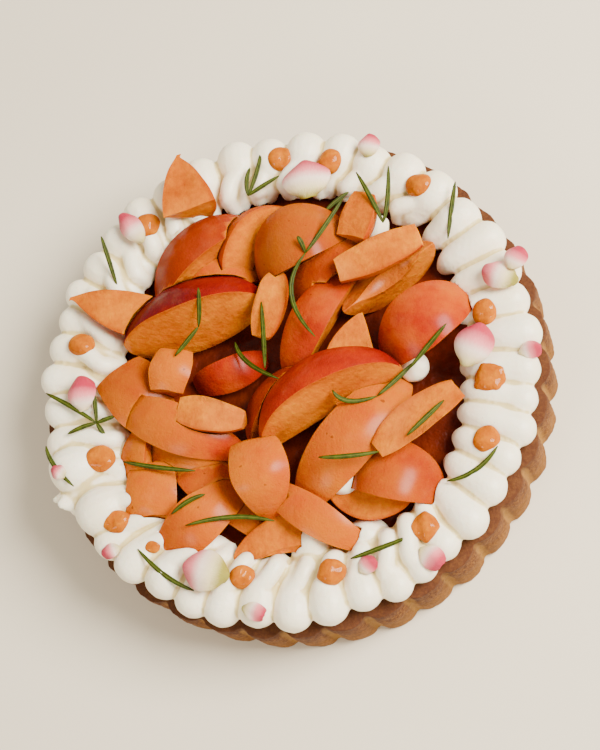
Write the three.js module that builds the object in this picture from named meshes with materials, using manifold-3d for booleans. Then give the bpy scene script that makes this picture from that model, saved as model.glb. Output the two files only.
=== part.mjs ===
// An apricot tart, 200 mm across: a fluted shortcrust shell with a jam filling,
// a ring of cream piped to and fro along the rim, a heap of fresh apricot
// slices, drops of apricot curd, pale petals and sprigs of rosemary.
// Millimetres, +Z up, the origin at the middle of the crust's foot.

import * as THREE from "three";
import { mergeVertices } from "three/addons/utils/BufferGeometryUtils.js";
import Module from "manifold-3d";

const wasm = await Module();
wasm.setup();

// ---------------------------------------------------------------- sizes

const TART_RADIUS = 100;
const GAP = 0.3;                  // clearance between pieces that touch

const crust = {
  height: 26.5,
  taper: 0.3,                     // the foot is this much smaller in radius
  wall: 5.2,                      // from the bottom of a flute to the inside
  floor: 6,
  flutes: 38,
  fluteDepth: 4.5,
  samplesPerFlute: 4,
  phase: 8.1,                     // degrees, the middle of the first flute
  edge: 1.4,                      // rounding of the rim
};
crust.innerRadius = TART_RADIUS - crust.fluteDepth - crust.wall;

const filling = {
  radius: crust.innerRadius - GAP,
  level: crust.height - GAP,      // filled to the brim
};

// The rope of cream turns once for each of these directions, in degrees
// counter-clockwise from +X. They are as uneven as a hand pipes them.
const ropeTurns = [
  5, 13.5, 21.5, 30, 38.5, 48, 57.5, 66.5, 75, 84, 93.5, 102,
  112, 121, 130, 138.5, 147, 155, 162, 169.5, 177.5, 185.5, 194, 201.5,
  215, 222.5, 230.5, 239.5, 248, 255.5, 264, 272.5, 281, 289.5, 297, 304,
  311, 319, 327.5, 335, 342.5, 349.5, 356.5,
];

const cream = {
  outerRadius: 97.4,
  innerRadii: [67, 74, 72, 66, 68, 73],   // at every 60 degrees, from +X
  footRadius: 94,                 // where the rope leaves the crust's rim
  top: 42,
  middle: 32.5,                   // height of the widest place
  shoulder: 38.8,
  crease: 4.2,                    // depth between two turns
  swing: 2.6,                     // degrees a crease swings to either side
  unevenness: 1.1,
  samplesPerTurn: 4,
};

const apricot = {
  cavityReach: 0.6,               // share of the fruit's half length
  tipWidth: 0.09,                 // of a slice's end, share of the radius
  lengthSegments: 5,
  spanSegments: 3,
  buriedLengthSegments: 4,
  buriedSpanSegments: 2,
};

const leaf = {
  width: 2.3,
  thickness: 1.1,
  segments: 4,
  creamSegments: 3,               // of the leaves pressed into the cream
  sunk: 0.8,                      // how deep a leaf on the cream is pressed in
};

const petal = {
  thickness: 0.9,
  wave: 0.35,
};

// ---------------------------------------------------------------- colours

function finish(name, colour, roughness) {
  return new THREE.MeshStandardMaterial({
    name,
    color: new THREE.Color(colour),
    roughness,
    metalness: 0,
  });
}

const finishes = {
  crust: finish("crust", "#b9824d", 0.85),
  filling: finish("filling", "#6d2410", 0.35),
  cream: finish("cream", "#efe8d8", 0.5),
  apricot: finish("apricot", "#e6842c", 0.4),
  petal: finish("petal", "#f2c9c4", 0.6),
  rosemary: finish("rosemary", "#55612f", 0.6),
};

// ---------------------------------------------------------------- helpers

const DOWN = new THREE.Vector3(0, 0, -1);

function radians(degrees) {
  return THREE.MathUtils.degToRad(degrees);
}

function mix(from, to, share) {
  return THREE.MathUtils.lerp(from, to, share);
}

// A closed geometry with shared corners and no faces of no area.
function welded(geometry) {
  const bare = geometry.index ? geometry.toNonIndexed() : geometry.clone();
  for (const attribute of ["normal", "uv"]) {
    bare.deleteAttribute(attribute);
  }
  const merged = mergeVertices(bare, 1e-4);
  const index = merged.index.array;
  const kept = [];
  for (let i = 0; i < index.length; i += 3) {
    const [a, b, c] = [index[i], index[i + 1], index[i + 2]];
    if (a !== b && b !== c && c !== a) {
      kept.push(a, b, c);
    }
  }
  merged.setIndex(kept);
  return merged;
}

// Moves every corner of a geometry to move(corner).
function shaped(geometry, move) {
  const position = geometry.attributes.position;
  const corner = new THREE.Vector3();
  for (let i = 0; i < position.count; i += 1) {
    corner.fromBufferAttribute(position, i);
    const moved = move(corner);
    position.setXYZ(i, moved.x, moved.y, moved.z);
  }
  return geometry;
}

function solid(geometry) {
  const closed = welded(geometry);
  const mesh = new wasm.Mesh({
    numProp: 3,
    vertProperties: new Float32Array(closed.attributes.position.array),
    triVerts: new Uint32Array(closed.index.array),
  });
  mesh.merge();
  return new wasm.Manifold(mesh);
}

function geometryOf(manifold) {
  const mesh = manifold.getMesh();
  const geometry = new THREE.BufferGeometry();
  geometry.setAttribute("position", new THREE.BufferAttribute(mesh.vertProperties, 3));
  geometry.setIndex(new THREE.BufferAttribute(mesh.triVerts, 1));
  return geometry;
}

function joined(solids) {
  return solids.reduce((whole, next) => whole.add(next));
}

// The largest piece of a solid that a cut may have parted.
function largest(manifold) {
  const pieces = manifold.decompose();
  pieces.sort((a, b) => b.volume() - a.volume());
  return pieces[0];
}

function boxesMeet(a, b) {
  const [p, q] = [a.boundingBox(), b.boundingBox()];
  return [0, 1, 2].every((k) => p.min[k] < q.max[k] && q.min[k] < p.max[k]);
}

function cutBy(manifold, cutters) {
  let rest = manifold;
  for (const cutter of cutters) {
    if (boxesMeet(rest, cutter)) {
      rest = rest.subtract(cutter);
    }
  }
  return rest === manifold ? manifold : largest(rest);
}

// A closed surface through rows of corners; every row is closed on itself and
// the last row runs on into the first.
function hoop(rows) {
  const around = rows[0].length;
  const position = rows.flat().flatMap((corner) => corner.toArray());
  const index = [];
  for (let i = 0; i < rows.length; i += 1) {
    const next = (i + 1) % rows.length;
    for (let j = 0; j < around; j += 1) {
      const beside = (j + 1) % around;
      const [a, b] = [i * around + j, i * around + beside];
      const [c, d] = [next * around + j, next * around + beside];
      index.push(a, c, b, b, c, d);
    }
  }
  const geometry = new THREE.BufferGeometry();
  geometry.setAttribute("position", new THREE.Float32BufferAttribute(position, 3));
  geometry.setIndex(index);
  return solid(geometry);
}

// A thin closed solid: corner(u, v, side) for u and v from -1 to 1, with side 1
// on the upper face and -1 on the lower one. Both faces are split alike.
function leafSolid(columns, rows, corner) {
  const position = [];
  const index = [];
  const layer = (columns + 1) * (rows + 1);
  const at = (i, j, side) => (side > 0 ? 0 : layer) + j * (columns + 1) + i;
  for (const side of [1, -1]) {
    for (let j = 0; j <= rows; j += 1) {
      for (let i = 0; i <= columns; i += 1) {
        const [u, v] = [(2 * i) / columns - 1, (2 * j) / rows - 1];
        position.push(...corner(u, v, side).toArray());
      }
    }
  }
  const quad = (a, b, c, d) => index.push(a, b, c, a, c, d);
  for (let j = 0; j < rows; j += 1) {
    for (let i = 0; i < columns; i += 1) {
      quad(at(i, j, 1), at(i + 1, j, 1), at(i + 1, j + 1, 1), at(i, j + 1, 1));
      const [a, b] = [at(i, j, -1), at(i + 1, j, -1)];
      const [c, d] = [at(i + 1, j + 1, -1), at(i, j + 1, -1)];
      index.push(a, c, b, a, d, c);
    }
  }
  for (let i = 0; i < columns; i += 1) {
    quad(at(i, 0, -1), at(i + 1, 0, -1), at(i + 1, 0, 1), at(i, 0, 1));
    quad(at(i + 1, rows, -1), at(i, rows, -1), at(i, rows, 1), at(i + 1, rows, 1));
  }
  for (let j = 0; j < rows; j += 1) {
    quad(at(0, j + 1, -1), at(0, j, -1), at(0, j, 1), at(0, j + 1, 1));
    quad(at(columns, j, -1), at(columns, j + 1, -1), at(columns, j + 1, 1), at(columns, j, 1));
  }
  const geometry = new THREE.BufferGeometry();
  geometry.setAttribute("position", new THREE.Float32BufferAttribute(position, 3));
  geometry.setIndex(index);
  return solid(geometry);
}

// ---------------------------------------------------------------- the tart

const tart = new THREE.Group();
tart.name = "apricot_tart";

function add(name, manifold, material) {
  const mesh = new THREE.Mesh(geometryOf(manifold), material.clone());
  mesh.name = name;
  tart.add(mesh);
  return mesh;
}

// The height of the highest surface over a point, looking down.
const ray = new THREE.Raycaster();

function heightOver(meshes, x, y) {
  const above = 200;
  ray.set(new THREE.Vector3(x, y, above), DOWN);
  const hits = ray.intersectObjects(meshes, false);
  return hits.length > 0 ? hits[0].point.z : crust.floor;
}

// ---------------------------------------------------------------- crust

// How far the wall lies inside the flutes' crests: 0 on a crest, 1 in a groove.
function fluteDrop(angle) {
  const turn = (angle / (2 * Math.PI)) * crust.flutes;
  const across = 2 * (turn - Math.round(turn));
  return 1 - Math.sqrt(Math.max(0, 1 - across * across));
}

function crustShell() {
  const foot = TART_RADIUS - crust.taper;
  const profile = [
    [0, 0],
    [foot, 0],
    [TART_RADIUS, crust.height - crust.edge],
    [TART_RADIUS - crust.edge, crust.height],
    [0, crust.height],
  ].map(([r, z]) => new THREE.Vector2(r, z));
  const drum = new THREE.LatheGeometry(profile, crust.flutes * crust.samplesPerFlute);
  drum.rotateX(Math.PI / 2);
  shaped(drum, (corner) => {
    const radius = Math.hypot(corner.x, corner.y);
    if (radius < crust.innerRadius) {
      return corner;
    }
    const drop = crust.fluteDepth * fluteDrop(Math.atan2(corner.y, corner.x));
    corner.x *= (radius - drop) / radius;
    corner.y *= (radius - drop) / radius;
    return corner;
  });
  drum.rotateZ(radians(crust.phase));
  return solid(drum).subtract(disc(crust.innerRadius, crust.floor, crust.height + 1));
}

// ---------------------------------------------------------------- filling

function disc(radius, low, high) {
  const slab = new THREE.CylinderGeometry(radius, radius, high - low, 48);
  slab.rotateX(Math.PI / 2);
  slab.translate(0, 0, (low + high) / 2);
  return solid(slab);
}

// What the toppings are cut by: everything up to the rim, with its clearance.
function bed() {
  const below = -10;
  return disc(TART_RADIUS + 20, below, crust.height + GAP);
}

// ---------------------------------------------------------------- apricots

// A slice is a wedge of a fruit whose stalk and tip lie on one line. The line's
// middle is at; yaw, pitch and roll turn it, and at roll 0 the skin is up. span
// is the wedge's angle. from and to are the share of the length that is kept,
// where a slice was cut short. belly is how far the inner edge stands out behind
// the line, cavity how deep the stone's hollow is, and sharp draws out the tips.
// Buried slices show little of their form. The slices on top of the heap come
// first.
const sliceTable = [
  { id: "02", at: [21, -18, 40], yaw: 26, pitch: 4, roll: -45, length: 60, radius: 22.5,
    span: 58, from: -0.95, cavity: 1, belly: 1 },
  { id: "25", at: [55, -26, 48], yaw: 36, pitch: -3, roll: -128, length: 44, radius: 8.5,
    span: 44, from: -0.85, to: 0.8, cavity: 0, belly: 7 },
  { id: "09", at: [40, 40, 48], yaw: 20, pitch: 0, roll: 112, length: 44, radius: 7.5,
    span: 44, from: -0.75, to: 0.75, cavity: 0, belly: 6 },
  { id: "01", at: [-35, 22, 38], yaw: 15, pitch: 3, roll: -52, length: 58, radius: 16,
    span: 60, cavity: 0, belly: 12 },
  { id: "03", at: [55, 13, 28], yaw: 36, pitch: -3, roll: 0, length: 42, radius: 23, span: 66 },
  { id: "21", at: [-25, -17, 46], yaw: -14, pitch: 0, roll: 112, length: 32, radius: 7.5,
    span: 52, from: -0.8, to: 0.85, cavity: 0, belly: 6 },
  { id: "24", at: [27, -29, 28], yaw: 48, pitch: -1, roll: 5, length: 62, radius: 23, span: 60 },
  { id: "23", at: [-8, -40, 33], yaw: -76, pitch: -2, roll: -10, length: 34, radius: 21,
    span: 64, from: -0.7 },
  { id: "11", at: [31, 54, 46], yaw: 70, pitch: 3, roll: 105, length: 30, radius: 7.5,
    span: 50, from: -0.45, to: 0.75, cavity: 0, belly: 6 },
  { id: "20", at: [-39, -19, 28], yaw: -24, pitch: -1, roll: 8, length: 56, radius: 21, span: 52 },
  { id: "14", at: [41, -2, 43], yaw: 110, pitch: 0, roll: -112, length: 44, radius: 24,
    span: 56, buried: true },
  { id: "10", at: [43, 32, 42], yaw: 34, pitch: 0, roll: -160, length: 42, radius: 18,
    span: 54, cavity: 7 },
  { id: "26", at: [42, -47, 25], yaw: -15, pitch: -1, roll: -15, length: 37, radius: 24, span: 62 },
  { id: "05", at: [8, 47, 28], yaw: 25, pitch: -1, roll: -8, length: 41, radius: 26, span: 62 },
  { id: "13", at: [16, 16, 28], yaw: 60, pitch: 0, roll: -10, length: 51, radius: 20,
    span: 50, buried: true },
  { id: "18", at: [-3, 24, 45], yaw: 74, pitch: 0, roll: 115, length: 30, radius: 7,
    span: 50, from: -0.85, to: 0.9, cavity: 0, belly: 6 },
  { id: "06", at: [-7, 49, 31], yaw: 54, pitch: 3, roll: -60, length: 42, radius: 20, span: 48 },
  { id: "04", at: [-29, 44, 25], yaw: 38, pitch: 4, roll: -30, length: 55, radius: 25,
    span: 56, buried: true },
  { id: "07", at: [-35, 63, 44], yaw: 103, pitch: 5, roll: 114, length: 55, radius: 11,
    span: 44, from: 0.08, cavity: 0, belly: 11, sharp: 2 },
  { id: "08", at: [-56, 26, 40], yaw: -19, pitch: -6, roll: 112, length: 61, radius: 9,
    span: 50, to: 0.1, cavity: 0, belly: 9, sharp: 2, buried: true },
  { id: "16", at: [-43, 1, 33], yaw: 80, pitch: 0, roll: 8, length: 28, radius: 16,
    span: 60, from: -0.55, to: 0.65 },
  { id: "15", at: [-24, 7, 21], yaw: 18, pitch: 0, roll: 25, length: 34, radius: 19, span: 42 },
  { id: "22", at: [4, -16, 32], yaw: 43, pitch: 3, roll: -45, length: 42, radius: 18,
    span: 50, buried: true },
  { id: "27", at: [13, -54, 27], yaw: -33, pitch: -4, roll: 10, length: 49, radius: 18,
    span: 46, buried: true },
  { id: "31", at: [-50, -44, 23], yaw: 91, pitch: 1, roll: 0, length: 38, radius: 20,
    span: 62, from: -0.5, to: 0.6 },
  { id: "12", at: [21, 38, 24], yaw: 51, pitch: 0, roll: -20, length: 44, radius: 21,
    span: 56, buried: true },
  { id: "19", at: [-26, 36, 24], yaw: 22, pitch: 0, roll: -10, length: 34, radius: 20,
    span: 56, buried: true },
  { id: "17", at: [-61, -6, 21], yaw: -51, pitch: 0, roll: -10, length: 44, radius: 24,
    span: 62, from: -0.5 },
  { id: "28", at: [34, -45, 38], yaw: -10, pitch: 0, roll: 115, length: 35, radius: 14, span: 50 },
  { id: "30", at: [9, -71, 37], yaw: 2, pitch: 0, roll: -116, length: 53, radius: 17, span: 50, to: -0.05 },
  { id: "29", at: [-32, -54, 25], yaw: 38, pitch: 4, roll: 10, length: 44, radius: 21, span: 56 },
  { id: "33", at: [-36, -25, 22], yaw: -29, pitch: 0, roll: 20, length: 51, radius: 21,
    span: 56, buried: true },
  { id: "34", at: [-31, -42, 21], yaw: -48, pitch: 0, roll: -10, length: 38, radius: 21,
    span: 56, buried: true },
  { id: "32", at: [-50, -29, 25], yaw: 86, pitch: 0, roll: -30, length: 34, radius: 18,
    span: 50, buried: true },
  { id: "35", at: [-18, -53, 20], yaw: -43, pitch: 0, roll: -10, length: 30, radius: 18,
    span: 50, buried: true },
];

function frameAt({ at, yaw = 0, pitch = 0, roll = 0 }) {
  const turn = new THREE.Euler(radians(roll), radians(-pitch), radians(yaw), "ZYX");
  const frame = new THREE.Matrix4().makeRotationFromEuler(turn);
  return frame.setPosition(new THREE.Vector3(...at));
}

function sliceSolid(slice, grow) {
  const { length, radius, span, from = -1, to = 1, cavity = 4, belly = 0, sharp = 1 } = slice;
  const { cavityReach, tipWidth } = apricot;
  const lengthSegments = slice.buried ? apricot.buriedLengthSegments : apricot.lengthSegments;
  const spanSegments = slice.buried ? apricot.buriedSpanSegments : apricot.spanSegments;
  const wedge = new THREE.BoxGeometry(1, 1, 1, lengthSegments, spanSegments, 1);
  shaped(wedge, ({ x, y, z }) => {
    const turn = mix(Math.asin(from), Math.asin(to), x + 0.5);
    const share = Math.sin(turn);
    const along = (share * length) / 2 + 2 * grow * x;
    const profile = Math.cos(turn) ** sharp;
    const skin = (radius + belly) * Math.max(profile, tipWidth);
    const reach = Math.min(1, Math.abs(share) / cavityReach);
    const hollow = cavity * Math.sqrt(1 - reach * reach);
    const inner = Math.max(Math.min(hollow, skin * 0.6) - grow, 0.3);
    const distance = mix(inner, skin + grow, z + 0.5);
    const angle = y * radians(span);
    const across = distance * Math.sin(angle) + 2 * grow * y;
    const up = distance * Math.cos(angle) - belly * profile - grow * (0.5 - z);
    return new THREE.Vector3(along, across, up);
  });
  wedge.applyMatrix4(frameAt(slice));
  return solid(wedge);
}

// ---------------------------------------------------------------- cream

// A value listed for equal steps round the ring, blended between its neighbours.
function roundTheRing(values, direction) {
  const place = (((direction / 360) % 1) + 1) % 1 * values.length;
  const index = Math.floor(place);
  const share = 0.5 - 0.5 * Math.cos((place - index) * Math.PI);
  return mix(values[index], values[(index + 1) % values.length], share);
}

// The rope's cross-section as [radius, height] pairs, from its outer foot over
// the top to the inner foot. crease is how far the section is sunk in, lift and
// reach how this turn was piped.
function creamSection(direction, crease, lift, reach) {
  const inner = roundTheRing(cream.innerRadii, direction) + 0.6 * crease;
  const outer = cream.outerRadius + reach - crease;
  const width = outer - inner;
  const rim = crust.height + GAP;
  return [
    [Math.min(cream.footRadius, outer - 2), rim],
    [outer, cream.middle],
    [outer - 0.13 * width, cream.shoulder + lift - 0.7 * crease],
    [outer - 0.45 * width, cream.top + lift - 0.8 * crease],
    [inner + 0.14 * width, cream.shoulder + lift - 0.9 * crease],
    [inner, rim],
  ];
}

function creamRope() {
  const rows = [];
  ropeTurns.forEach((direction, k) => {
    const last = k === ropeTurns.length - 1;
    const next = last ? ropeTurns[0] + 360 : ropeTurns[k + 1];
    const lift = cream.unevenness * Math.sin(2.4 * k);
    const reach = cream.unevenness * Math.sin(4.1 * k + 1);
    for (let i = 0; i < cream.samplesPerTurn; i += 1) {
      const share = i / cream.samplesPerTurn;
      const across = 1 - Math.abs(1 - 2 * share);
      const crease = cream.crease * (1 - Math.sqrt(1 - across * across));
      const here = mix(direction, next, share);
      const section = creamSection(here, crease, lift, reach);
      const row = section.map(([radius, height], j) => {
        const onTop = j > 0 && j < 5;
        const swing = onTop ? cream.swing * Math.sin((j - 1) * 1.9) : 0;
        const angle = radians(here + swing);
        return new THREE.Vector3(radius * Math.cos(angle), radius * Math.sin(angle), height);
      });
      rows.push(row);
    }
  });
  return hoop(rows);
}

// A small round kiss of cream, flatter below, with a tip that leans.
function creamKiss({ at, radius, height, lean }, grow) {
  const kiss = new THREE.SphereGeometry(1, 8, 6);
  kiss.rotateX(Math.PI / 2);
  shaped(kiss, ({ x, y, z }) => {
    const up = Math.max(0, z);
    const wide = (radius + 1.5 * grow) * (1 - 0.35 * up);
    return new THREE.Vector3(
      at[0] + wide * x + lean[0] * up * up,
      at[1] + wide * y + lean[1] * up * up,
      at[2] + (height + 1.5 * grow) * z,
    );
  });
  return solid(kiss);
}

const kissTable = [
  { id: "a", at: [37, 54, 38], radius: 5.5, height: 6, lean: [0, 1] },
  { id: "b", at: [24, -43, 37], radius: 7, height: 7, lean: [-5, -3] },
  { id: "c", at: [50, -1, 33], radius: 5.8, height: 6, lean: [1, 1] },
];

// Larger dollops and the drawn-out tail of the rope, all one with the ring.
const dollopTable = [
  { at: [10, -67, 31], radius: 8, height: 8, lean: [2, 3] },
  { at: [31, -65, 30], radius: 9, height: 8, lean: [0, 2] },
  { at: [-27, -67, 31], radius: 7, height: 7, lean: [0, 2] },
  { at: [-80, -44, 33], radius: 7, height: 6, lean: [-8, -3] },
];

function ropeTail() {
  const [start, end] = [82, 101.5];
  const [direction, height] = [208, 33];
  const tail = new THREE.ConeGeometry(5.5, end - start, 8);
  tail.rotateZ(-Math.PI / 2);
  tail.translate((start + end) / 2, 0, height);
  tail.rotateZ(radians(direction));
  return solid(tail);
}

// ---------------------------------------------------------------- scattered

// A low mound pressed into the cream: a drop of curd or a small rolled petal.
function mound(meshes, { at: [x, y], size: [long, wide], yaw = 0, height }) {
  const form = new THREE.SphereGeometry(1, 6, 3);
  form.rotateX(Math.PI / 2);
  const sunk = 0.3 * height;
  form.scale(long / 2, wide / 2, height + sunk);
  form.rotateZ(radians(yaw));
  form.translate(x, y, heightOver(meshes, x, y) - sunk);
  return solid(form);
}

const curdDrop = { size: [10.4, 9.4], height: 3.2 };
const curdDrops = [
  { at: [0, 86], ...curdDrop },
  { at: [20, 82], ...curdDrop, yaw: 60 },
  { at: [55, 68], ...curdDrop },
  { at: [78, 16], ...curdDrop, yaw: 90 },
  { at: [79, -9], ...curdDrop, size: [12, 11], yaw: 30 },
  { at: [77, -32], ...curdDrop, yaw: 45 },
  { at: [54, -63], ...curdDrop, yaw: 90 },
  { at: [20, -78], ...curdDrop, yaw: 20 },
  { at: [-14, -78], ...curdDrop, size: [9.5, 8.5] },
  { at: [-63, -55], ...curdDrop, yaw: 20 },
  { at: [-71, -30], ...curdDrop, size: [12, 10.5] },
  { at: [-80, 16], ...curdDrop },
  { at: [-54, 63], ...curdDrop, yaw: 40 },
  { at: [-49, -65], size: [6, 5], height: 1.5 },
];

const rolledPetals = [
  { at: [36, 86], size: [9, 8], height: 3 },
  { at: [94, 0], size: [8, 6], height: 3 },
  { at: [-9, -91], size: [9, 6], height: 2.5 },
  { at: [56, -74], size: [10, 8], yaw: -40, height: 3 },
  { at: [33, -76], size: [7, 6], height: 3 },
  { at: [-65, -66], size: [7, 5], yaw: 60, height: 2.5 },
  { at: [-85, -36], size: [6, 5], yaw: 60, height: 2.5 },
];

// ---------------------------------------------------------------- rosemary

// A needle through three points, tapered to both ends and bent evenly.
function leafAlong([start, middle, end], segments) {
  const path = new THREE.CatmullRomCurve3([start, middle, end].map((p) => new THREE.Vector3(...p)));
  const needle = new THREE.BoxGeometry(1, 1, 1, segments, 1, 1);
  return shaped(needle, ({ x, y, z }) => {
    const share = x + 0.5;
    const point = path.getPoint(share);
    const along = path.getTangent(share);
    const side = new THREE.Vector3(-along.y, along.x, 0).normalize();
    const full = 0.22 + 0.78 * Math.sqrt(Math.sin(Math.PI * share));
    point.addScaledVector(side, y * leaf.width * full);
    point.z += z * leaf.thickness * full;
    return point;
  });
}

// How far a shape must rise to lie clear of everything under it, from points
// spread over each face that looks down.
function riseOver(meshes, geometry) {
  const steps = 4;
  const position = geometry.attributes.position;
  const face = new THREE.Triangle();
  const normal = new THREE.Vector3();
  const point = new THREE.Vector3();
  let rise = -Infinity;
  for (let i = 0; i < geometry.index.count; i += 3) {
    face.setFromAttributeAndIndices(position, ...geometry.index.array.slice(i, i + 3));
    if (face.getNormal(normal).z >= 0) {
      continue;
    }
    for (let j = 0; j <= steps; j += 1) {
      for (let k = 0; k <= steps - j; k += 1) {
        point.copy(face.a).multiplyScalar((steps - j - k) / steps);
        point.addScaledVector(face.b, j / steps).addScaledVector(face.c, k / steps);
        rise = Math.max(rise, heightOver(meshes, point.x, point.y) - point.z);
      }
    }
  }
  return rise;
}

function sprig(meshes, leaves, clearance) {
  const segments = clearance > 0 ? leaf.segments : leaf.creamSegments;
  const needles = leaves.map((points) => leafAlong(points, segments));
  const rise = Math.max(...needles.map((needle) => riseOver(meshes, needle)));
  return joined(needles.map((needle) => solid(needle.translate(0, 0, rise + clearance))));
}

// Sprigs on the cream, each leaf by its start, middle and end.
const creamSprigs = [
  [[[-70.4, 57.4, 46], [-68.2, 48.9, 43], [-65.9, 38.6, 38.5]]],
  [
    [[-12.5, 71, 41], [-9, 80, 41.5], [-7.3, 89.4, 41]],
    [[-12.5, 71, 41], [-13, 77, 41.5], [-11.7, 82.6, 41.5]],
    [[-12.5, 71, 41], [-7, 74, 41.5], [0, 78, 41]],
  ],
  [[[69.4, 66.5, 44], [67.4, 57, 42], [65.5, 45.2, 41]]],
  [[[81.2, -35.4, 41], [73, -43.5, 40.5], [62.3, -46.9, 40]]],
  [[[48.8, -66.6, 40.5], [37.6, -70.3, 40], [27, -73.5, 40]]],
  [[[-54, -66.1, 42], [-43, -76.4, 42.5], [-31.9, -82.5, 41.5]]],
  [[[-91.1, -25.2, 40], [-87.5, -33, 39.5], [-79.6, -41.3, 38.5]]],
  [
    [[-72.1, -16.5, 41.5], [-82.5, -9.5, 43], [-93, -3.5, 43]],
    [[-72.1, -16.5, 41.5], [-77.5, -18, 42.5], [-83.2, -20.5, 43]],
    [[-72.1, -16.5, 41.5], [-72.5, -10, 42.5], [-73.5, -4, 43]],
    [[-72.1, -16.5, 41.5], [-68.5, -15.5, 42], [-64.5, -14.5, 42]],
    [[-72.1, -16.5, 41.5], [-70.5, -19, 41], [-69.2, -21, 40]],
  ],
  [[[27, 70, 42], [22, 66, 43], [18, 62, 44]]],
];

// Sprigs on the fruit, each a piece of its own.
const fruitSprigs = [
  [
    [[-26.5, 28.5, 57.5], [-27.5, 22, 53], [-29, 16, 49]],
    [[-29, 16, 49], [-33.5, 11, 48.5], [-38.5, 5.5, 48]],
  ],
  [[[-17.5, 12, 46], [-12, 3, 48], [2.1, -6.4, 54]]],
  [[[-4.9, 24.4, 46], [-3.4, 10.5, 48], [-1.4, -3.8, 52.5]]],
  [
    [[27.7, 62.1, 48], [20.7, 50.5, 49.5], [13.5, 40.5, 50]],
    [[13.5, 40.5, 50], [7.5, 25.5, 48], [16.6, 8, 48]],
    [[11.2, 46, 53.5], [12.5, 44, 52.5], [13.5, 40.5, 50]],
  ],
  [
    [[42.5, 51, 43], [38.5, 60.5, 44.5], [33.1, 71.3, 46]],
    [[42.5, 51, 43], [44.7, 60, 44.5], [45.5, 72.4, 46]],
  ],
  [[[65.5, 9, 44], [58, 1.5, 42], [51, -6, 41]]],
  [
    [[52.5, -2.7, 46], [46, -9, 47], [39, -15.6, 49]],
    [[23.8, -14, 55.5], [29, -17.5, 52], [39, -15.6, 49]],
  ],
  [[[64, -19.8, 45.5], [57.8, -25.7, 46.5], [50.7, -32.6, 48]]],
  [[[18.9, -39.1, 52.5], [29.4, -39.1, 51.5], [40.2, -37.3, 48]]],
  [[[-61.5, -32, 39.5], [-46.3, -35.9, 42.5], [-31.6, -38, 42]]],
  [[[-39.9, -54.5, 45], [-33.2, -50.2, 46], [-26.9, -47.7, 45]]],
  [[[-33.5, -59.5, 45.5], [-17, -56.4, 41.5], [-1.5, -58.2, 39]]],
];

// ---------------------------------------------------------------- petals

// A cupped petal lying with its hollow down. yaw points from its base to its
// tip, cup is how far the middle stands above the edge.
const petalTable = [
  { at: [12, 73], yaw: 95, size: [16, 19], cup: 4.3, tilt: -6 },
  { at: [-59, 61], yaw: 128, size: [16, 8], cup: 3, tilt: 0 },
  { at: [-78, -5], yaw: 95, size: [14, 11], cup: 3.5, tilt: 0 },
  { at: [74, 2], yaw: 65, size: [17, 14], cup: 4, tilt: 0 },
  { at: [85, 28], yaw: 155, size: [14, 10], cup: 3, tilt: 0 },
  { at: [91, 33], yaw: 60, size: [9, 8], cup: 2, tilt: 0 },
  { at: [-26, -76], yaw: 165, size: [18, 15], cup: 4, tilt: 0 },
];

function petalSolid(meshes, { at: [x, y], yaw, size: [long, wide], cup, tilt }) {
  const frame = frameAt({ at: [x, y, 0], yaw, pitch: tilt });
  const corner = (u, v, side) => {
    const breadth = Math.sqrt(Math.max(0.1, 1 - (0.95 * u - 0.12) ** 2));
    const edge = u * u * 0.8 + v * v * (0.6 + 0.4 * breadth);
    const wave = petal.wave * Math.sin(2.3 * u + 3.1 * v);
    const point = new THREE.Vector3(
      (long / 2) * u * (1 - 0.22 * v * v),
      (wide / 2) * v * breadth,
      cup * (1 - edge) + wave + (side * petal.thickness) / 2,
    );
    return point.applyMatrix4(frame);
  };
  const form = leafSolid(4, 3, corner);
  const rise = riseOver(meshes, geometryOf(form));
  return form.translate([0, 0, rise + GAP]);
}

// ---------------------------------------------------------------- assembly

const toppingBed = bed();

add("crust", crustShell(), finishes.crust);
add("filling", disc(filling.radius, crust.floor + GAP, filling.level), finishes.filling);

const placed = [];
const cutters = [];
for (const slice of sliceTable) {
  const cut = cutBy(sliceSolid(slice, 0), [toppingBed, ...cutters]);
  placed.push(add(`slice_${slice.id}`, cut, finishes.apricot));
  cutters.push(sliceSolid(slice, GAP));
}

for (const kiss of kissTable) {
  const cut = cutBy(creamKiss(kiss, 0), [toppingBed, ...cutters]);
  placed.push(add(`cream_kiss_${kiss.id}`, cut, finishes.cream));
  cutters.push(creamKiss(kiss, GAP));
}

const piped = joined([creamRope(), ropeTail(), ...dollopTable.map((dollop) => creamKiss(dollop, 0))]);
const under = [new THREE.Mesh(geometryOf(piped), finishes.cream)];
const pressedIn = [
  ...[...curdDrops, ...rolledPetals].map((drop) => mound(under, drop)),
  ...creamSprigs.map((leaves) => sprig(under, leaves, -leaf.sunk)),
];
const ring = cutBy(joined([piped, ...pressedIn]), [toppingBed, ...cutters]);
placed.push(add("cream_ring", ring, finishes.cream));

petalTable.forEach((entry, i) => {
  placed.push(add(`petal_${i + 1}`, petalSolid(placed, entry), finishes.petal));
});

fruitSprigs.forEach((leaves, i) => {
  placed.push(add(`rosemary_${i + 1}`, sprig(placed, leaves, GAP), finishes.rosemary));
});

export default tart;
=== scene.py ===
# %% [markdown]
# # An apricot tart
#
# A fluted shortcrust shell, filled with jam to the brim. A rope of cream is piped
# to and fro along its rim, and fresh apricot slices are heaped inside the ring.
# Drops of curd, pale petals and sprigs of rosemary lie on top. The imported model
# is the frame: nearly every piece here has the place and the form of one of its
# nodes, and adds the detail that a solid leaves out. Only the drops of curd, the
# small petals and the rosemary on the cream have no node of their own.

# %% Load the frame
import math

import bmesh
import bpy
import numpy as np
from mathutils import Euler, Matrix, Vector, noise
from mathutils.bvhtree import BVHTree


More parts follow.
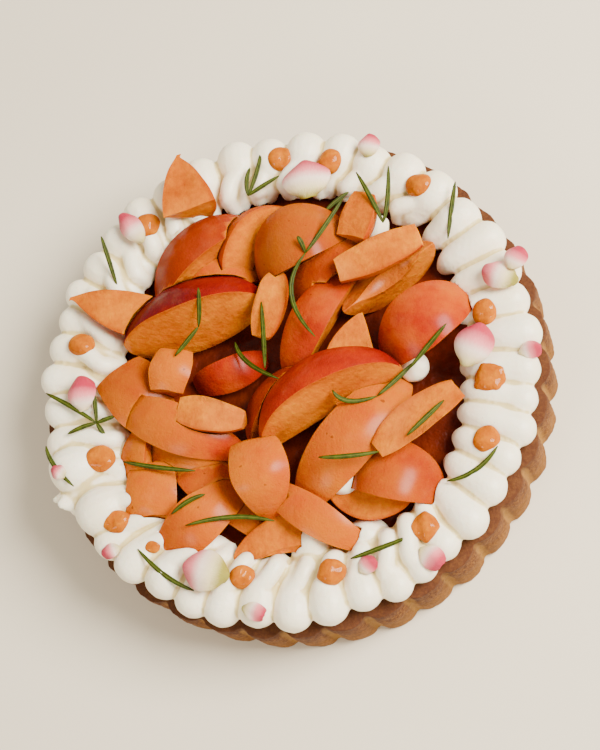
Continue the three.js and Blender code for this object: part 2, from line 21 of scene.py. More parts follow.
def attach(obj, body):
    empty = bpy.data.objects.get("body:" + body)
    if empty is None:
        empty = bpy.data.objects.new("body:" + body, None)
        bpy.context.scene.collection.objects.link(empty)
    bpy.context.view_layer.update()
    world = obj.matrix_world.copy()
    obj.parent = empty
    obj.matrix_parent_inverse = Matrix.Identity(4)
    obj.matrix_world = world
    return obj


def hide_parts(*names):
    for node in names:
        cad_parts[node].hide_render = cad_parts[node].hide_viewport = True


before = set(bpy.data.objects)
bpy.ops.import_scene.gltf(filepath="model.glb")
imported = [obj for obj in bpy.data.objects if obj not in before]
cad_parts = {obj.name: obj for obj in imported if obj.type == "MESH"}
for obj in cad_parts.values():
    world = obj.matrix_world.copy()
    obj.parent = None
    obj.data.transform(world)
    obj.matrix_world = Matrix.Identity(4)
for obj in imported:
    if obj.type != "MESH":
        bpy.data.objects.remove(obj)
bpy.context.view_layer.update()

MM = 0.001
# Blender seeds its vector noise from the clock unless it is told otherwise.
NOISE_SEED = 7
noise.seed_set(NOISE_SEED)

# %% [markdown]
# ## Camera, light and floor
#
# The photograph looks down steeply from the lower right with a long lens. The
# camera could be placed by eye, but points on the rim fix its direction, distance
# and lens, so those were fitted, with +Y pointing up the picture. A pale floor
# and two soft lights follow the photograph: the broad light comes from the right,
# and a weaker one from the lower left puts a soft shine on the fruit.

# %% The camera
LOOK_FROM = Vector((0.2447, -0.2767, 0.9293)).normalized()
DISTANCE = 650 * MM
AIM = Vector((-2.7, 9.5, 0)) * MM
LENS = 78.3
FILM_WIDTH = 36
NEAREST = 10 * MM


def place_camera():
    eye = LOOK_FROM * DISTANCE
    ahead = (AIM - eye).normalized()
    up = (Vector((0, 1, 0)) - ahead * ahead.y).normalized()
    right = ahead.cross(up)
    bpy.ops.object.camera_add()
    camera = bpy.context.object
    turn = Matrix((right, up, -ahead)).transposed().to_4x4()
    camera.matrix_world = Matrix.Translation(eye) @ turn
    camera.data.lens = LENS
    camera.data.sensor_width = FILM_WIDTH
    camera.data.clip_start = NEAREST
    bpy.context.scene.camera = camera


place_camera()
print("camera at", tuple(round(v, 3) for v in bpy.context.scene.camera.location))


# %% The lights and the floor
ROOM_COLOUR = (1.0, 0.925, 0.8, 1)
ROOM_STRENGTH = 0.7
FLOOR_SIZE = 4
FLOOR_LEVEL = -0.2 * MM


def soft_light(name, place, size, watts, colour):
    bpy.ops.object.light_add(type="AREA", location=place)
    light = bpy.context.object
    light.name = name
    light.data.shape = "DISK"
    light.data.size = size
    light.data.energy = watts
    light.data.color = colour
    light.rotation_euler = (-Vector(place)).to_track_quat("-Z", "Y").to_euler()


soft_light("window", place=(0.8, 0.12, 0.85), size=0.65, watts=43, colour=(1.0, 0.955, 0.885))
soft_light("reflector", place=(-0.55, -0.95, 0.9), size=0.5, watts=7, colour=(1.0, 0.94, 0.86))

world = bpy.data.worlds.new("room")
bpy.context.scene.world = world
world.use_nodes = True
background = world.node_tree.nodes["Background"]
background.inputs["Color"].default_value = ROOM_COLOUR
background.inputs["Strength"].default_value = ROOM_STRENGTH

bpy.ops.mesh.primitive_plane_add(size=FLOOR_SIZE, location=(0, 0, FLOOR_LEVEL))
floor = bpy.context.object
floor.name = "floor"

# %% [markdown]
# ## Writing materials as sums
#
# A material is a net of nodes, and nets made by hand are hard to read in a
# script. So a small class wraps one socket and turns Python's arithmetic into
# Math nodes, and one method makes every other kind of node.


# %% The material helpers
def linear(code):
    """A colour written as in a paint program, as the linear numbers that shaders use."""
    parts = [int(code[i:i + 2], 16) / 255 for i in (1, 3, 5)]
    return [p / 12.92 if p < 0.04045 else ((p + 0.055) / 1.055) ** 2.4 for p in parts] + [1]


class Value:
    def __init__(self, finish, socket):
        self.finish, self.socket = finish, socket

    def maths(self, operation, *numbers):
        return self.finish.node("ShaderNodeMath", {"operation": operation}, list(numbers))

    def __add__(self, other):
        return self.maths("ADD", self, other)

    def __sub__(self, other):
        return self.maths("SUBTRACT", self, other)

    def __rsub__(self, other):
        return self.maths("SUBTRACT", other, self)

    def __mul__(self, other):
        return self.maths("MULTIPLY", self, other)

    __radd__ = __add__
    __rmul__ = __mul__


class Finish:
    """A material whose looks are written as expressions."""

    def __init__(self, name, **constants):
        self.material = bpy.data.materials.new(name)
        self.material.use_nodes = True
        self.tree = self.material.node_tree
        self.shader = self.tree.nodes["Principled BSDF"]
        for socket, value in constants.items():
            self.shader.inputs[socket.replace("_", " ")].default_value = value

    def node(self, kind, settings=None, sockets=None, output=0):
        made = self.tree.nodes.new(kind)
        for key, value in (settings or {}).items():
            if key == "stops":
                self.set_stops(made.color_ramp, value)
            else:
                setattr(made, key, value)
        pairs = sockets.items() if isinstance(sockets, dict) else enumerate(sockets or [])
        for key, value in pairs:
            if isinstance(value, Value):
                self.tree.links.new(value.socket, made.inputs[key])
            else:
                made.inputs[key].default_value = value
        return Value(self, made.outputs[output])

    def set_stops(self, ramp, stops):
        while len(ramp.elements) < len(stops):
            ramp.elements.new(0.5)
        for element, (place, colour) in zip(ramp.elements, stops):
            element.position = place
            element.color = linear(colour)

    def attribute(self, name):
        return self.node("ShaderNodeAttribute", {"attribute_name": name}, output="Fac")

    def place(self):
        return self.node("ShaderNodeTexCoord", output="Object")

    def noise(self, per_metre, detail=3, roughness=0.5, vector=None, stretch=None):
        where = vector or self.place()
        if stretch:
            where = self.node("ShaderNodeMapping", sockets={"Vector": where, "Scale": stretch})
        sockets = {"Vector": where, "Scale": per_metre, "Detail": detail, "Roughness": roughness}
        return self.node("ShaderNodeTexNoise", sockets=sockets)

    def between(self, value, low, high):
        settings = {"interpolation_type": "SMOOTHSTEP"}
        sockets = {"Value": value, "From Min": low, "From Max": high}
        return self.node("ShaderNodeMapRange", settings, sockets)

    def ramp(self, value, *stops):
        return self.node("ShaderNodeValToRGB", {"stops": stops}, {"Fac": value})

    def mix(self, factor, one, other):
        """Two colours; a Mix node's sockets 6 and 7 and its output 2 are those for colours."""
        one, other = [linear(c) if isinstance(c, str) else c for c in (one, other)]
        sockets = {0: factor, 6: one, 7: other}
        return self.node("ShaderNodeMix", {"data_type": "RGBA"}, sockets, output=2)

    def bump(self, height, depth):
        sockets = {"Height": height, "Distance": depth, "Strength": 1}
        return self.node("ShaderNodeBump", sockets=sockets, output="Normal")

    def wear(self, **looks):
        for socket, value in looks.items():
            self.tree.links.new(value.socket, self.shader.inputs[socket.replace("_", " ")])
        return self.material


print("helpers ready")

# %% [markdown]
# ## The floor's finish
#
# The surface under the tart is plain, matt and warm grey. One colour would do,
# but a very faint unevenness keeps it from looking like nothing at all.

# %% Paint the floor
paint = Finish("pale_floor", Roughness=0.9)
faint = paint.noise(9, 2)
floor.data.materials.append(paint.wear(Base_Color=paint.mix(faint, "#e0d3bb", "#e5dac3")))
print("floor painted")

# %% [markdown]
# ## Working by hand in code
#
# Each new shape starts from a primitive and is then shaped. An operator acts on
# all that is selected, so each of these helpers first selects its piece alone.

# %% The modelling helpers
MERGE_WITHIN = 0.01


def start(add, **where):
    """Adds a primitive, with nothing else selected."""
    bpy.ops.object.select_all(action="DESELECT")
    add(**where)
    return bpy.context.object


def chosen(*pieces):
    """Selects these pieces alone and makes the first one active."""
    bpy.ops.object.select_all(action="DESELECT")
    for piece in pieces:
        piece.select_set(True)
    bpy.context.view_layer.objects.active = pieces[0]


def named(piece, name):
    piece.name = piece.data.name = name
    return piece


def joined(pieces, name):
    chosen(*pieces)
    if len(pieces) > 1:
        bpy.ops.object.join()
    return named(pieces[0], name)


def subdivided(piece, cuts):
    chosen(piece)
    bpy.ops.object.mode_set(mode="EDIT")
    bpy.ops.mesh.select_all(action="SELECT")
    bpy.ops.mesh.subdivide(number_cuts=cuts)
    bpy.ops.object.mode_set(mode="OBJECT")
    return piece


def facing_out(piece):
    chosen(piece)
    bpy.ops.object.mode_set(mode="EDIT")
    bpy.ops.mesh.select_all(action="SELECT")
    bpy.ops.mesh.remove_doubles(threshold=MERGE_WITHIN * MM)
    bpy.ops.mesh.normals_make_consistent(inside=False)
    bpy.ops.object.mode_set(mode="OBJECT")
    return piece


def finished(piece, kind, **settings):
    """Adds one modifier and applies it at once."""
    chosen(piece)
    modifier = piece.modifiers.new(kind.lower(), kind)
    for key, value in settings.items():
        setattr(modifier, key, value)
    bpy.ops.object.modifier_apply(modifier=modifier.name)
    return piece


def smooth(piece, degrees=None):
    """Smooth shading, with edges sharper than so many degrees left sharp."""
    chosen(piece)
    if degrees:
        bpy.ops.object.shade_smooth_by_angle(angle=math.radians(degrees))
    else:
        bpy.ops.object.shade_smooth()
    return piece


def corners(piece):
    """A mesh's corners as an array of millimetres."""
    flat = np.empty(len(piece.data.vertices) * 3)
    piece.data.vertices.foreach_get("co", flat)
    return flat.reshape(-1, 3) / MM


def move_corners(piece, places):
    piece.data.vertices.foreach_set("co", (np.asarray(places) * MM).ravel())
    piece.data.update()
    return piece


def store(piece, name, values, domain="POINT"):
    """Keeps one number for each corner of a mesh, for its finish to read."""
    layer = piece.data.attributes.new(name, "FLOAT", domain)
    layer.data.foreach_set("value", np.asarray(values, dtype=np.float32))


def hollows(piece, rounds, depth):
    """How far each corner lies in a crease: 0 on open ground, 1 at depth mm or more."""
    places = corners(piece)
    edges = np.array([edge.vertices[:] for edge in piece.data.edges])
    count = np.zeros(len(places))
    np.add.at(count, edges.ravel(), 1)
    soft = places.copy()
    for _ in range(rounds):
        total = np.zeros_like(soft)
        np.add.at(total, edges[:, 0], soft[edges[:, 1]])
        np.add.at(total, edges[:, 1], soft[edges[:, 0]])
        soft = 0.5 * soft + 0.5 * total / count[:, None]
    normals = np.array([vertex.normal[:] for vertex in piece.data.vertices])
    return np.clip(((soft - places) * normals).sum(1) / depth, 0, 1)


def dressed(piece, material, slot, *nodes):
    """Gives a piece its material and its place in the frame."""
    piece.data.materials.clear()
    piece.data.materials.append(material)
    if nodes:
        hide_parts(*nodes)
    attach(piece, "root")


print("modelling helpers ready")

# %% [markdown]
# ## The crust
#
# A fluted ring presses scallops into the dough: each flute is a rounded bulge
# with a sharp valley beside it. One scalloped outline could be extruded, but its
# rim and wall would be as straight as metal. So the start is a cylinder with many
# sides. Its top is inset and pushed down to make the shell, its wall is cut into
# bands, and every corner is then drawn in by how deep its flute is there.

# %% Sizes of the crust
TART_RADIUS = 100
CRUST_HEIGHT = 26.5
WALL = 5.2
FLUTES = 38
FLUTE_DEPTH = 4.5
FLUTE_PHASE = 8.1
CRUST_FLOOR = 6
SIDES_PER_FLUTE = 14
VALLEY_SPREAD = (-0.07, -0.035, 0, 0.035, 0.07)
INNER_RADIUS = TART_RADIUS - FLUTE_DEPTH - WALL
# Between pieces that lie against each other.
GAP = 0.3


def flute_drop(degrees):
    """0 on a flute's back and 1 in the valley between two, which dough rounds off."""
    turn = (degrees - FLUTE_PHASE) / 360 * FLUTES
    drop = 0
    for shift in VALLEY_SPREAD:
        across = 2 * (turn + shift - round(turn + shift))
        drop += 1 - math.sqrt(max(0, 1 - across * across))
    return drop / len(VALLEY_SPREAD)


print("the shell's inner radius is", round(INNER_RADIUS, 1), "mm")

# %% Turn a cylinder into a shell
BAND = 1.6
RIM_ROUND = 1.3


def cylinder(radius, low, high, sides):
    """A cylinder from one height up to another, with its place in its mesh."""
    piece = start(
        bpy.ops.mesh.primitive_cylinder_add,
        vertices=sides,
        radius=radius * MM,
        depth=(high - low) * MM,
        location=(0, 0, (high + low) / 2 * MM),
    )
    bpy.ops.object.transform_apply(location=True, rotation=True, scale=True)
    return piece


def crust_blank():
    shell = cylinder(TART_RADIUS, 0, CRUST_HEIGHT, FLUTES * SIDES_PER_FLUTE)
    bpy.ops.object.mode_set(mode="EDIT")
    bpy.ops.mesh.select_all(action="DESELECT")
    bpy.ops.object.mode_set(mode="OBJECT")
    for face in shell.data.polygons:
        face.select = face.normal.z > 0.9
    bpy.ops.object.mode_set(mode="EDIT")
    bpy.ops.mesh.inset(thickness=(TART_RADIUS - INNER_RADIUS) * MM)
    bpy.ops.mesh.extrude_region_move(
        TRANSFORM_OT_translate={"value": (0, 0, (CRUST_FLOOR - CRUST_HEIGHT) * MM)}
    )
    for height in np.arange(BAND, CRUST_HEIGHT - 1, BAND):
        bpy.ops.mesh.select_all(action="SELECT")
        bpy.ops.mesh.bisect(plane_co=(0, 0, height * MM), plane_no=(0, 0, 1))
    bpy.ops.object.mode_set(mode="OBJECT")
    return shell


shell = crust_blank()
finished(shell, "BEVEL", width=RIM_ROUND * MM, segments=3, limit_method="ANGLE", angle_limit=0.9)
print("crust blank", len(shell.data.vertices), "corners")


# %% Press the flutes and roughen the dough
# Each kind of unevenness: how often it comes, per mm, and how far it reaches, in mm.
LUMPS = (0.16, 0.7)
CRUMB = (0.75, 0.28)
# The inner wall stays as it is, and the flutes grow to full depth across the rim.
STILL = 1
GROW_OVER = 5
# How far all is drawn in, so that no lump passes the tart's radius.
DRAWN_IN = 0.35
RIM_BAND = 5
RIM_TUCK = 0.3
RIM_SAG = 0.3
FOOT_BAND = 2
FOOT_TUCK = 0.4


def uneven(place, often, far):
    return noise.noise(place * often) * far


def dough_corner(x, y, z):
    radius = math.hypot(x, y)
    if radius < INNER_RADIUS + STILL:
        return x, y, z
    degrees = math.degrees(math.atan2(y, x))
    out = min(1, (radius - INNER_RADIUS - STILL) / GROW_OVER)
    drop = FLUTE_DEPTH * flute_drop(degrees) * out
    lumps = uneven(Vector((x, y, z)), *LUMPS)
    crumb = uneven(Vector((x, y, z)), *CRUMB)
    rim = max(0, (z - CRUST_HEIGHT + RIM_BAND) / RIM_BAND)
    foot = FOOT_TUCK * max(0, 1 - z / FOOT_BAND)
    new = radius - drop + (lumps + crumb) * out - DRAWN_IN - RIM_TUCK * rim - foot
    sag = RIM_SAG * (math.sin(math.radians(3 * degrees)) - 1)
    lift = (0.5 * lumps + crumb + sag) * rim
    return x * new / radius, y * new / radius, z + lift


move_corners(shell, [dough_corner(*place) for place in corners(shell)])
crust = named(facing_out(shell), "crust_baked")
store(crust, "crease", hollows(crust, rounds=8, depth=0.35))
smooth(crust, 50)
print("crust", len(crust.data.polygons), "faces")

# %% [markdown]
# ## Baked shortcrust
#
# Shortcrust browns where it bulges. Its valleys are paler, partly from the bake and
# partly as a painted highlight. Its foot is paler and its rim darkest, partly from the
# bake and partly as painted shade under the cream. Grains of sugar and flour give it a
# sandy surface. A picture could show all this, but it would stretch over the flutes, so
# three noises of different size give the colour, and the finer two the bump.

# %% The crust's finish
def baked_crust():
    bake = Finish("baked_crust", Roughness=0.8, Specular_IOR_Level=0.3)
    height = bake.node("ShaderNodeSeparateXYZ", sockets=[bake.place()], output=2)
    patches = bake.noise(70, 4, 0.6)
    grain = bake.noise(900, 4, 0.7)
    sand = bake.noise(2600, 2, 0.6)
    crease = bake.attribute("crease")
    brown = bake.ramp(
        patches * 0.5 + bake.between(grain, 0.32, 0.68) * 0.5,
        (0.2, "#3e1a06"), (0.42, "#5c300c"), (0.6, "#774616"), (0.82, "#946226"),
    )
    # Paler lower wall: partly the lighter bake near the foot, partly the other side of painted
    # shade on the upper wall under the cream.
    low = 1 - bake.between(height + patches * (6 * MM), 8 * MM, 24 * MM)
    brown = bake.mix(low * 0.4, brown, "#9c6820")
    # Paler valleys: partly the dough's lighter bake, partly a painted highlight along each valley.
    pale_valley_and_highlight = bake.between(crease, 0.1, 0.9)
    brown = bake.mix(pale_valley_and_highlight * 0.5, brown, "#b08034")
    # Darker rim by the cream: partly the browner baked edge, partly painted shade under the cream.
    rim = bake.between(height + patches * (4 * MM), 22.5 * MM, 28.5 * MM)
    brown = bake.mix(rim * 0.8, brown, "#4f2810")
    specks = bake.between(sand, 0.62, 0.72)
    brown = bake.mix(specks * 0.4, brown, "#452208")
    relief = grain * 0.7 + sand * 0.3
    return bake.wear(Base_Color=brown, Normal=bake.bump(relief, 0.7 * MM))


dressed(crust, baked_crust(), "crust", "crust")
print("crust finished")

# %% [markdown]
# ## The jam
#
# The jam fills the shell to its rim and shows only in the gaps of the heap, with
# its edge under the cream. Its colour is jam darkened by painted shade, as the deep
# gaps look. Spread jam has low waves, and a finely cut surface could hold them. Here
# it is a plain flat disc, and its lumps are in the finish alone.

# %% Spread the jam
JAM_RADIUS = INNER_RADIUS - GAP
JAM_LEVEL = CRUST_HEIGHT - GAP
jam = named(cylinder(JAM_RADIUS, CRUST_FLOOR + GAP, JAM_LEVEL, sides=96), "apricot_jam")
smooth(jam, 50)


def jam_and_gap_shade():
    glaze = Finish("jam_and_gap_shade", Roughness=0.35, Specular_IOR_Level=0.15)
    thick = glaze.noise(45, 3)
    lumps = glaze.noise(220, 3)
    # Painted shade: the jam's colour is darkened to the deep shade of the gaps between slices.
    colour = glaze.ramp(
        thick * 0.7 + lumps * 0.3,
        (0.3, "#3a0c02"), (0.5, "#5c1a04"), (0.68, "#7c2c06"),
    )
    return glaze.wear(Base_Color=colour, Normal=glaze.bump(lumps, 1.2 * MM))


dressed(jam, jam_and_gap_shade(), "filling", "filling")
print("jam", len(jam.data.polygons), "faces")

# %% [markdown]
# ## The apricot slices
#
# A slice is a wedge of a fruit: a curved skin outside, two flat cut faces and, at
# their meeting, the hollow that held the stone. A ball could be cut into wedges,
# but a cube already has the layout of one. So a finely subdivided cube is bent
# into each wedge: its length runs from stalk to tip, its width spreads over the
# wedge's angle, and its height goes from the hollow to the skin. Each slice has
# its own size, turn and ripeness.

# %% The slices of the heap, the topmost first
# at is the middle of the fruit's own axis in mm, turn its yaw, pitch and roll, and
# size its length, its radius and the wedge's angle. start and stop say how much of
# the length is kept, and cavity how deep the stone's hollow is. belly is how far the
# inner edge stands out behind the axis, and sharp draws out the tips. blush says how
# red the skin is, and dull how brown, partly its own brown and partly painted
# shade. drift lets the blush change along the slice, and pale gives pale
# patches of painted sheen on cut faces. A buried slice shows little and is coarser.
SLICES = [
    dict(id="02", at=(21, -18, 40), turn=(26, 4, -45), size=(60, 22.5, 58), start=-0.95, cavity=1,
         belly=1, blush=0.62, drift=0.15),
    dict(id="25", at=(55, -26, 48), turn=(36, -3, -128), size=(44, 8.5, 44), start=-0.85, stop=0.8,
         cavity=0, belly=7, pale=0.5),
    dict(id="09", at=(40, 40, 48), turn=(20, 0, 112), size=(44, 7.5, 44), start=-0.75, stop=0.75,
         cavity=0, belly=6, pale=0.6),
    dict(id="01", at=(-35, 22, 38), turn=(15, 3, -52), size=(58, 16, 60), cavity=0, belly=12,
         blush=0.9, drift=-0.12),
    dict(id="03", at=(55, 13, 28), turn=(36, -3, 0), size=(42, 23, 66), blush=0.4, drift=-0.1),
    dict(id="21", at=(-25, -17, 46), turn=(-14, 0, 112), size=(32, 7.5, 52), start=-0.8, stop=0.85,
         cavity=0, belly=6, pale=0.4),
    dict(id="24", at=(27, -29, 28), turn=(48, -1, 5), size=(62, 23, 60), blush=0.14, dull=0.15),
    dict(id="23", at=(-8, -40, 33), turn=(-76, -2, -10), size=(34, 21, 64), start=-0.7,
         blush=0.12),
    dict(id="11", at=(31, 54, 46), turn=(70, 3, 105), size=(30, 7.5, 50), start=-0.45, stop=0.75,
         cavity=0, belly=6, pale=0.2),
    dict(id="20", at=(-39, -19, 28), turn=(-24, -1, 8), size=(56, 21, 52), blush=0.2, drift=0.3),
    dict(id="14", at=(41, -2, 43), turn=(110, 0, -112), size=(44, 24, 56), buried=True),
    dict(id="10", at=(43, 32, 42), turn=(34, 0, -160), size=(42, 18, 54), cavity=7, pale=0.5),
    dict(id="26", at=(42, -47, 25), turn=(-15, -1, -15), size=(37, 24, 62), blush=0.25, drift=0.15,
         dull=0.45),
    dict(id="05", at=(8, 47, 28), turn=(25, -1, -8), size=(41, 26, 62), blush=0.22, dull=0.75),
    dict(id="13", at=(16, 16, 28), turn=(60, 0, -10), size=(51, 20, 50), blush=0.48, dull=0.2),
    dict(id="18", at=(-3, 24, 45), turn=(74, 0, 115), size=(30, 7, 50), start=-0.85, stop=0.9,
         cavity=0, belly=6),
    dict(id="06", at=(-7, 49, 31), turn=(54, 3, -60), size=(42, 20, 48)),
    dict(id="04", at=(-29, 44, 25), turn=(38, 4, -30), size=(55, 25, 56), blush=0.62, dull=0.55,
         buried=True),
    dict(id="07", at=(-35, 63, 44), turn=(103, 5, 114), size=(55, 11, 44), start=0.08, cavity=0,
         belly=11, sharp=2, pale=0.3),
    dict(id="08", at=(-56, 26, 40), turn=(-19, -6, 112), size=(61, 9, 50), stop=0.1, cavity=0,
         belly=9, sharp=2, buried=True),
    dict(id="16", at=(-43, 1, 33), turn=(80, 0, 8), size=(28, 16, 60), start=-0.55, stop=0.65,
         blush=0.06),
    dict(id="15", at=(-24, 7, 21), turn=(18, 0, 25), size=(34, 19, 42), blush=0.55, drift=0.1),
    dict(id="22", at=(4, -16, 32), turn=(43, 3, -45), size=(42, 18, 50), blush=0.7, dull=0.5,
         buried=True),
    dict(id="27", at=(13, -54, 27), turn=(-33, -4, 10), size=(49, 18, 46), blush=0.1, buried=True),
    dict(id="31", at=(-50, -44, 23), turn=(91, 1, 0), size=(38, 20, 62), start=-0.5, stop=0.6,
         blush=0.1),
    dict(id="12", at=(21, 38, 24), turn=(51, 0, -20), size=(44, 21, 56), blush=0.35, dull=0.6,
         buried=True),
    dict(id="19", at=(-26, 36, 24), turn=(22, 0, -10), size=(34, 20, 56), blush=0.15, buried=True),
    dict(id="17", at=(-61, -6, 21), turn=(-51, 0, -10), size=(44, 24, 62), start=-0.5, blush=0.12,
         dull=0.6),
    dict(id="28", at=(34, -45, 38), turn=(-10, 0, 115), size=(35, 14, 50)),
    dict(id="30", at=(9, -71, 37), turn=(2, 0, -116), size=(53, 17, 50), stop=-0.05),
    dict(id="29", at=(-32, -54, 25), turn=(38, 4, 10), size=(44, 21, 56), blush=0.12),
    dict(id="33", at=(-36, -25, 22), turn=(-29, 0, 20), size=(51, 21, 56), blush=0.15, dull=0.2,
         buried=True),
    dict(id="34", at=(-31, -42, 21), turn=(-48, 0, -10), size=(38, 21, 56), blush=0.4, dull=0.3,
         buried=True),
    dict(id="32", at=(-50, -29, 25), turn=(86, 0, -30), size=(34, 18, 50), blush=0.1, buried=True),
    dict(id="35", at=(-18, -53, 20), turn=(-43, 0, -10), size=(30, 18, 50), blush=0.2, dull=0.6,
         buried=True),
]
print("slices", len(SLICES))


# %% Bend a cube into a wedge of fruit
# The hollow's share of the length and of the radius, and its depth if none is given.
CAVITY_REACH = 0.6
CAVITY_MOST = 0.6
CAVITY_DEPTH = 4
# The thickness left at a slice's tips, as a share, and at its inner edge, in mm.
TIP_WIDTH = 0.09
THINNEST = 0.3
# Each kind of unevenness: how often it comes, per mm, and how far it reaches, in mm.
FRUIT_UNEVEN = ((0.07, 0.9), (0.16, 0.35), (0.35, 0.16))
SEED_STEP = 7.3
FINE_CUTS = 15
COARSE_CUTS = 11


def turned(at, yaw, pitch=0, roll=0):
    angles = [math.radians(degrees) for degrees in (roll, -pitch, yaw)]
    return Matrix.Translation(Vector(at)) @ Euler(angles, "XYZ").to_matrix().to_4x4()


def wedge_corner(entry, x, y, z, grow):
    """Where a corner of the unit cube goes; x, y and z run from -0.5 to 0.5."""
    length, radius, span = entry["size"]
    begin, end = entry.get("start", -1), entry.get("stop", 1)
    turn = math.asin(begin) + (math.asin(end) - math.asin(begin)) * (x + 0.5)
    share = math.sin(turn)
    profile = math.cos(turn) ** entry.get("sharp", 1)
    belly = entry.get("belly", 0)
    outer = (radius + belly) * max(profile, TIP_WIDTH)
    reach = min(1, abs(share) / CAVITY_REACH)
    hollow = entry.get("cavity", CAVITY_DEPTH) * math.sqrt(1 - reach * reach)
    inner = max(min(hollow, outer * CAVITY_MOST) - grow, THINNEST)
    distance = inner + (outer + grow - inner) * (z + 0.5)
    angle = y * math.radians(span)
    return Vector((
        share * length / 2 + 2 * grow * x,
        distance * math.sin(angle) + 2 * grow * y,
        distance * math.cos(angle) - belly * profile - grow * (0.5 - z),
    ))


def wedge(entry, cuts, grow=0.0):
    """A slice, and its corners' places on the unit cube. A grown one stays smooth."""
    piece = subdivided(start(bpy.ops.mesh.primitive_cube_add, size=1), cuts)
    unit = corners(piece) * MM
    frame_of = turned(entry["at"], *entry["turn"])
    places = [frame_of @ wedge_corner(entry, *corner, grow) for corner in unit]
    if grow == 0:
        seed = Vector((int(entry["id"]) * SEED_STEP, 0, 0))
        for place in places:
            shifts = [noise.noise_vector(place * often + seed) * far for often, far in FRUIT_UNEVEN]
            place += sum(shifts, Vector())
    return move_corners(piece, [place[:] for place in places]), unit


sample, _ = wedge(SLICES[0], cuts=3)
print("a coarse wedge spans", np.ptp(corners(sample), axis=0).round(1), "mm")
bpy.data.objects.remove(sample)


# %% Mark skin, flesh and hollow on each slice
SOFT_EDGE = 2


def marked(piece, unit, entry):
    """Stores what the finish needs: where the skin is, and where on the fruit we are."""
    skin = np.zeros(len(piece.data.loops))
    for face in piece.data.polygons:
        if all(unit[i][2] > 0.499 for i in face.vertices):
            skin[face.loop_start:face.loop_start + face.loop_total] = 1
    store(piece, "skin", skin, "CORNER")
    x, _, z = unit.T
    store(piece, "blush", entry.get("blush", 0.3) + entry.get("drift", 0) * 2 * x)
    for mark in ("dull", "pale"):
        store(piece, mark, np.full(len(x), entry.get(mark, 0)))
    store(piece, "depth", z + 0.5)
    store(piece, "middle", 1 - np.abs(np.sin(math.pi * np.clip(x, -0.5, 0.5))))


def cut_slice(entry):
    piece, unit = wedge(entry, COARSE_CUTS if entry.get("buried") else FINE_CUTS)
    marked(piece, unit, entry)
    finished(
        piece, "BEVEL", width=SOFT_EDGE * MM, segments=3, limit_method="ANGLE", angle_limit=0.9
    )
    finished(piece, "SUBSURF", levels=1, render_levels=1)
    finished(piece, "SMOOTH", factor=0.5, iterations=15)
    return named(piece, f"apricot_slice_{entry['id']}")


slices = [cut_slice(entry) for entry in SLICES]
print("slices", sum(len(piece.data.polygons) for piece in slices), "faces in all")

# %% [markdown]
# ## Fitting the slices together
#
# In the heap the soft slices touch without passing through each other. A
# simulation could drop them into place, but then none would lie where it does in
# the photograph. So each one is cut by a slightly larger copy of every slice that
# lies on it. The topmost come first in the list, and a Boolean modifier cuts.

# %% Cut each slice clear of those above it
def boxes_meet(one, other):
    a, b = [corners(piece) for piece in (one, other)]
    return bool(np.all(a.min(0) < b.max(0)) and np.all(b.min(0) < a.max(0)))


def cut_clear(piece, cutters):
    for cutter in cutters:
        if boxes_meet(piece, cutter):
            finished(piece, "BOOLEAN", operation="DIFFERENCE", solver="MANIFOLD", object=cutter)


def largest_part(piece):
    """Drops loose scraps that a cut has left."""
    mesh = bmesh.new()
    mesh.from_mesh(piece.data)
    left = set(mesh.verts)
    parts = []
    while left:
        stack = [left.pop()]
        part = set(stack)
        while stack:
            for edge in stack.pop().link_edges:
                for vertex in edge.verts:
                    if vertex in left:
                        left.discard(vertex)
                        part.add(vertex)
                        stack.append(vertex)
        parts.append(part)
    keep = max(parts, key=len)
    loose = [vertex for vertex in mesh.verts if vertex not in keep]
    bmesh.ops.delete(mesh, geom=loose, context="VERTS")
    mesh.to_mesh(piece.data)
    mesh.free()


cutters = []
for piece, entry in zip(slices, SLICES):
    cut_clear(piece, cutters)
    largest_part(piece)
    smooth(piece, 45)
    cutters.append(named(wedge(entry, COARSE_CUTS, GAP)[0], "cutter_" + entry["id"]))
print("fitted", sum(len(piece.data.polygons) for piece in slices), "faces")
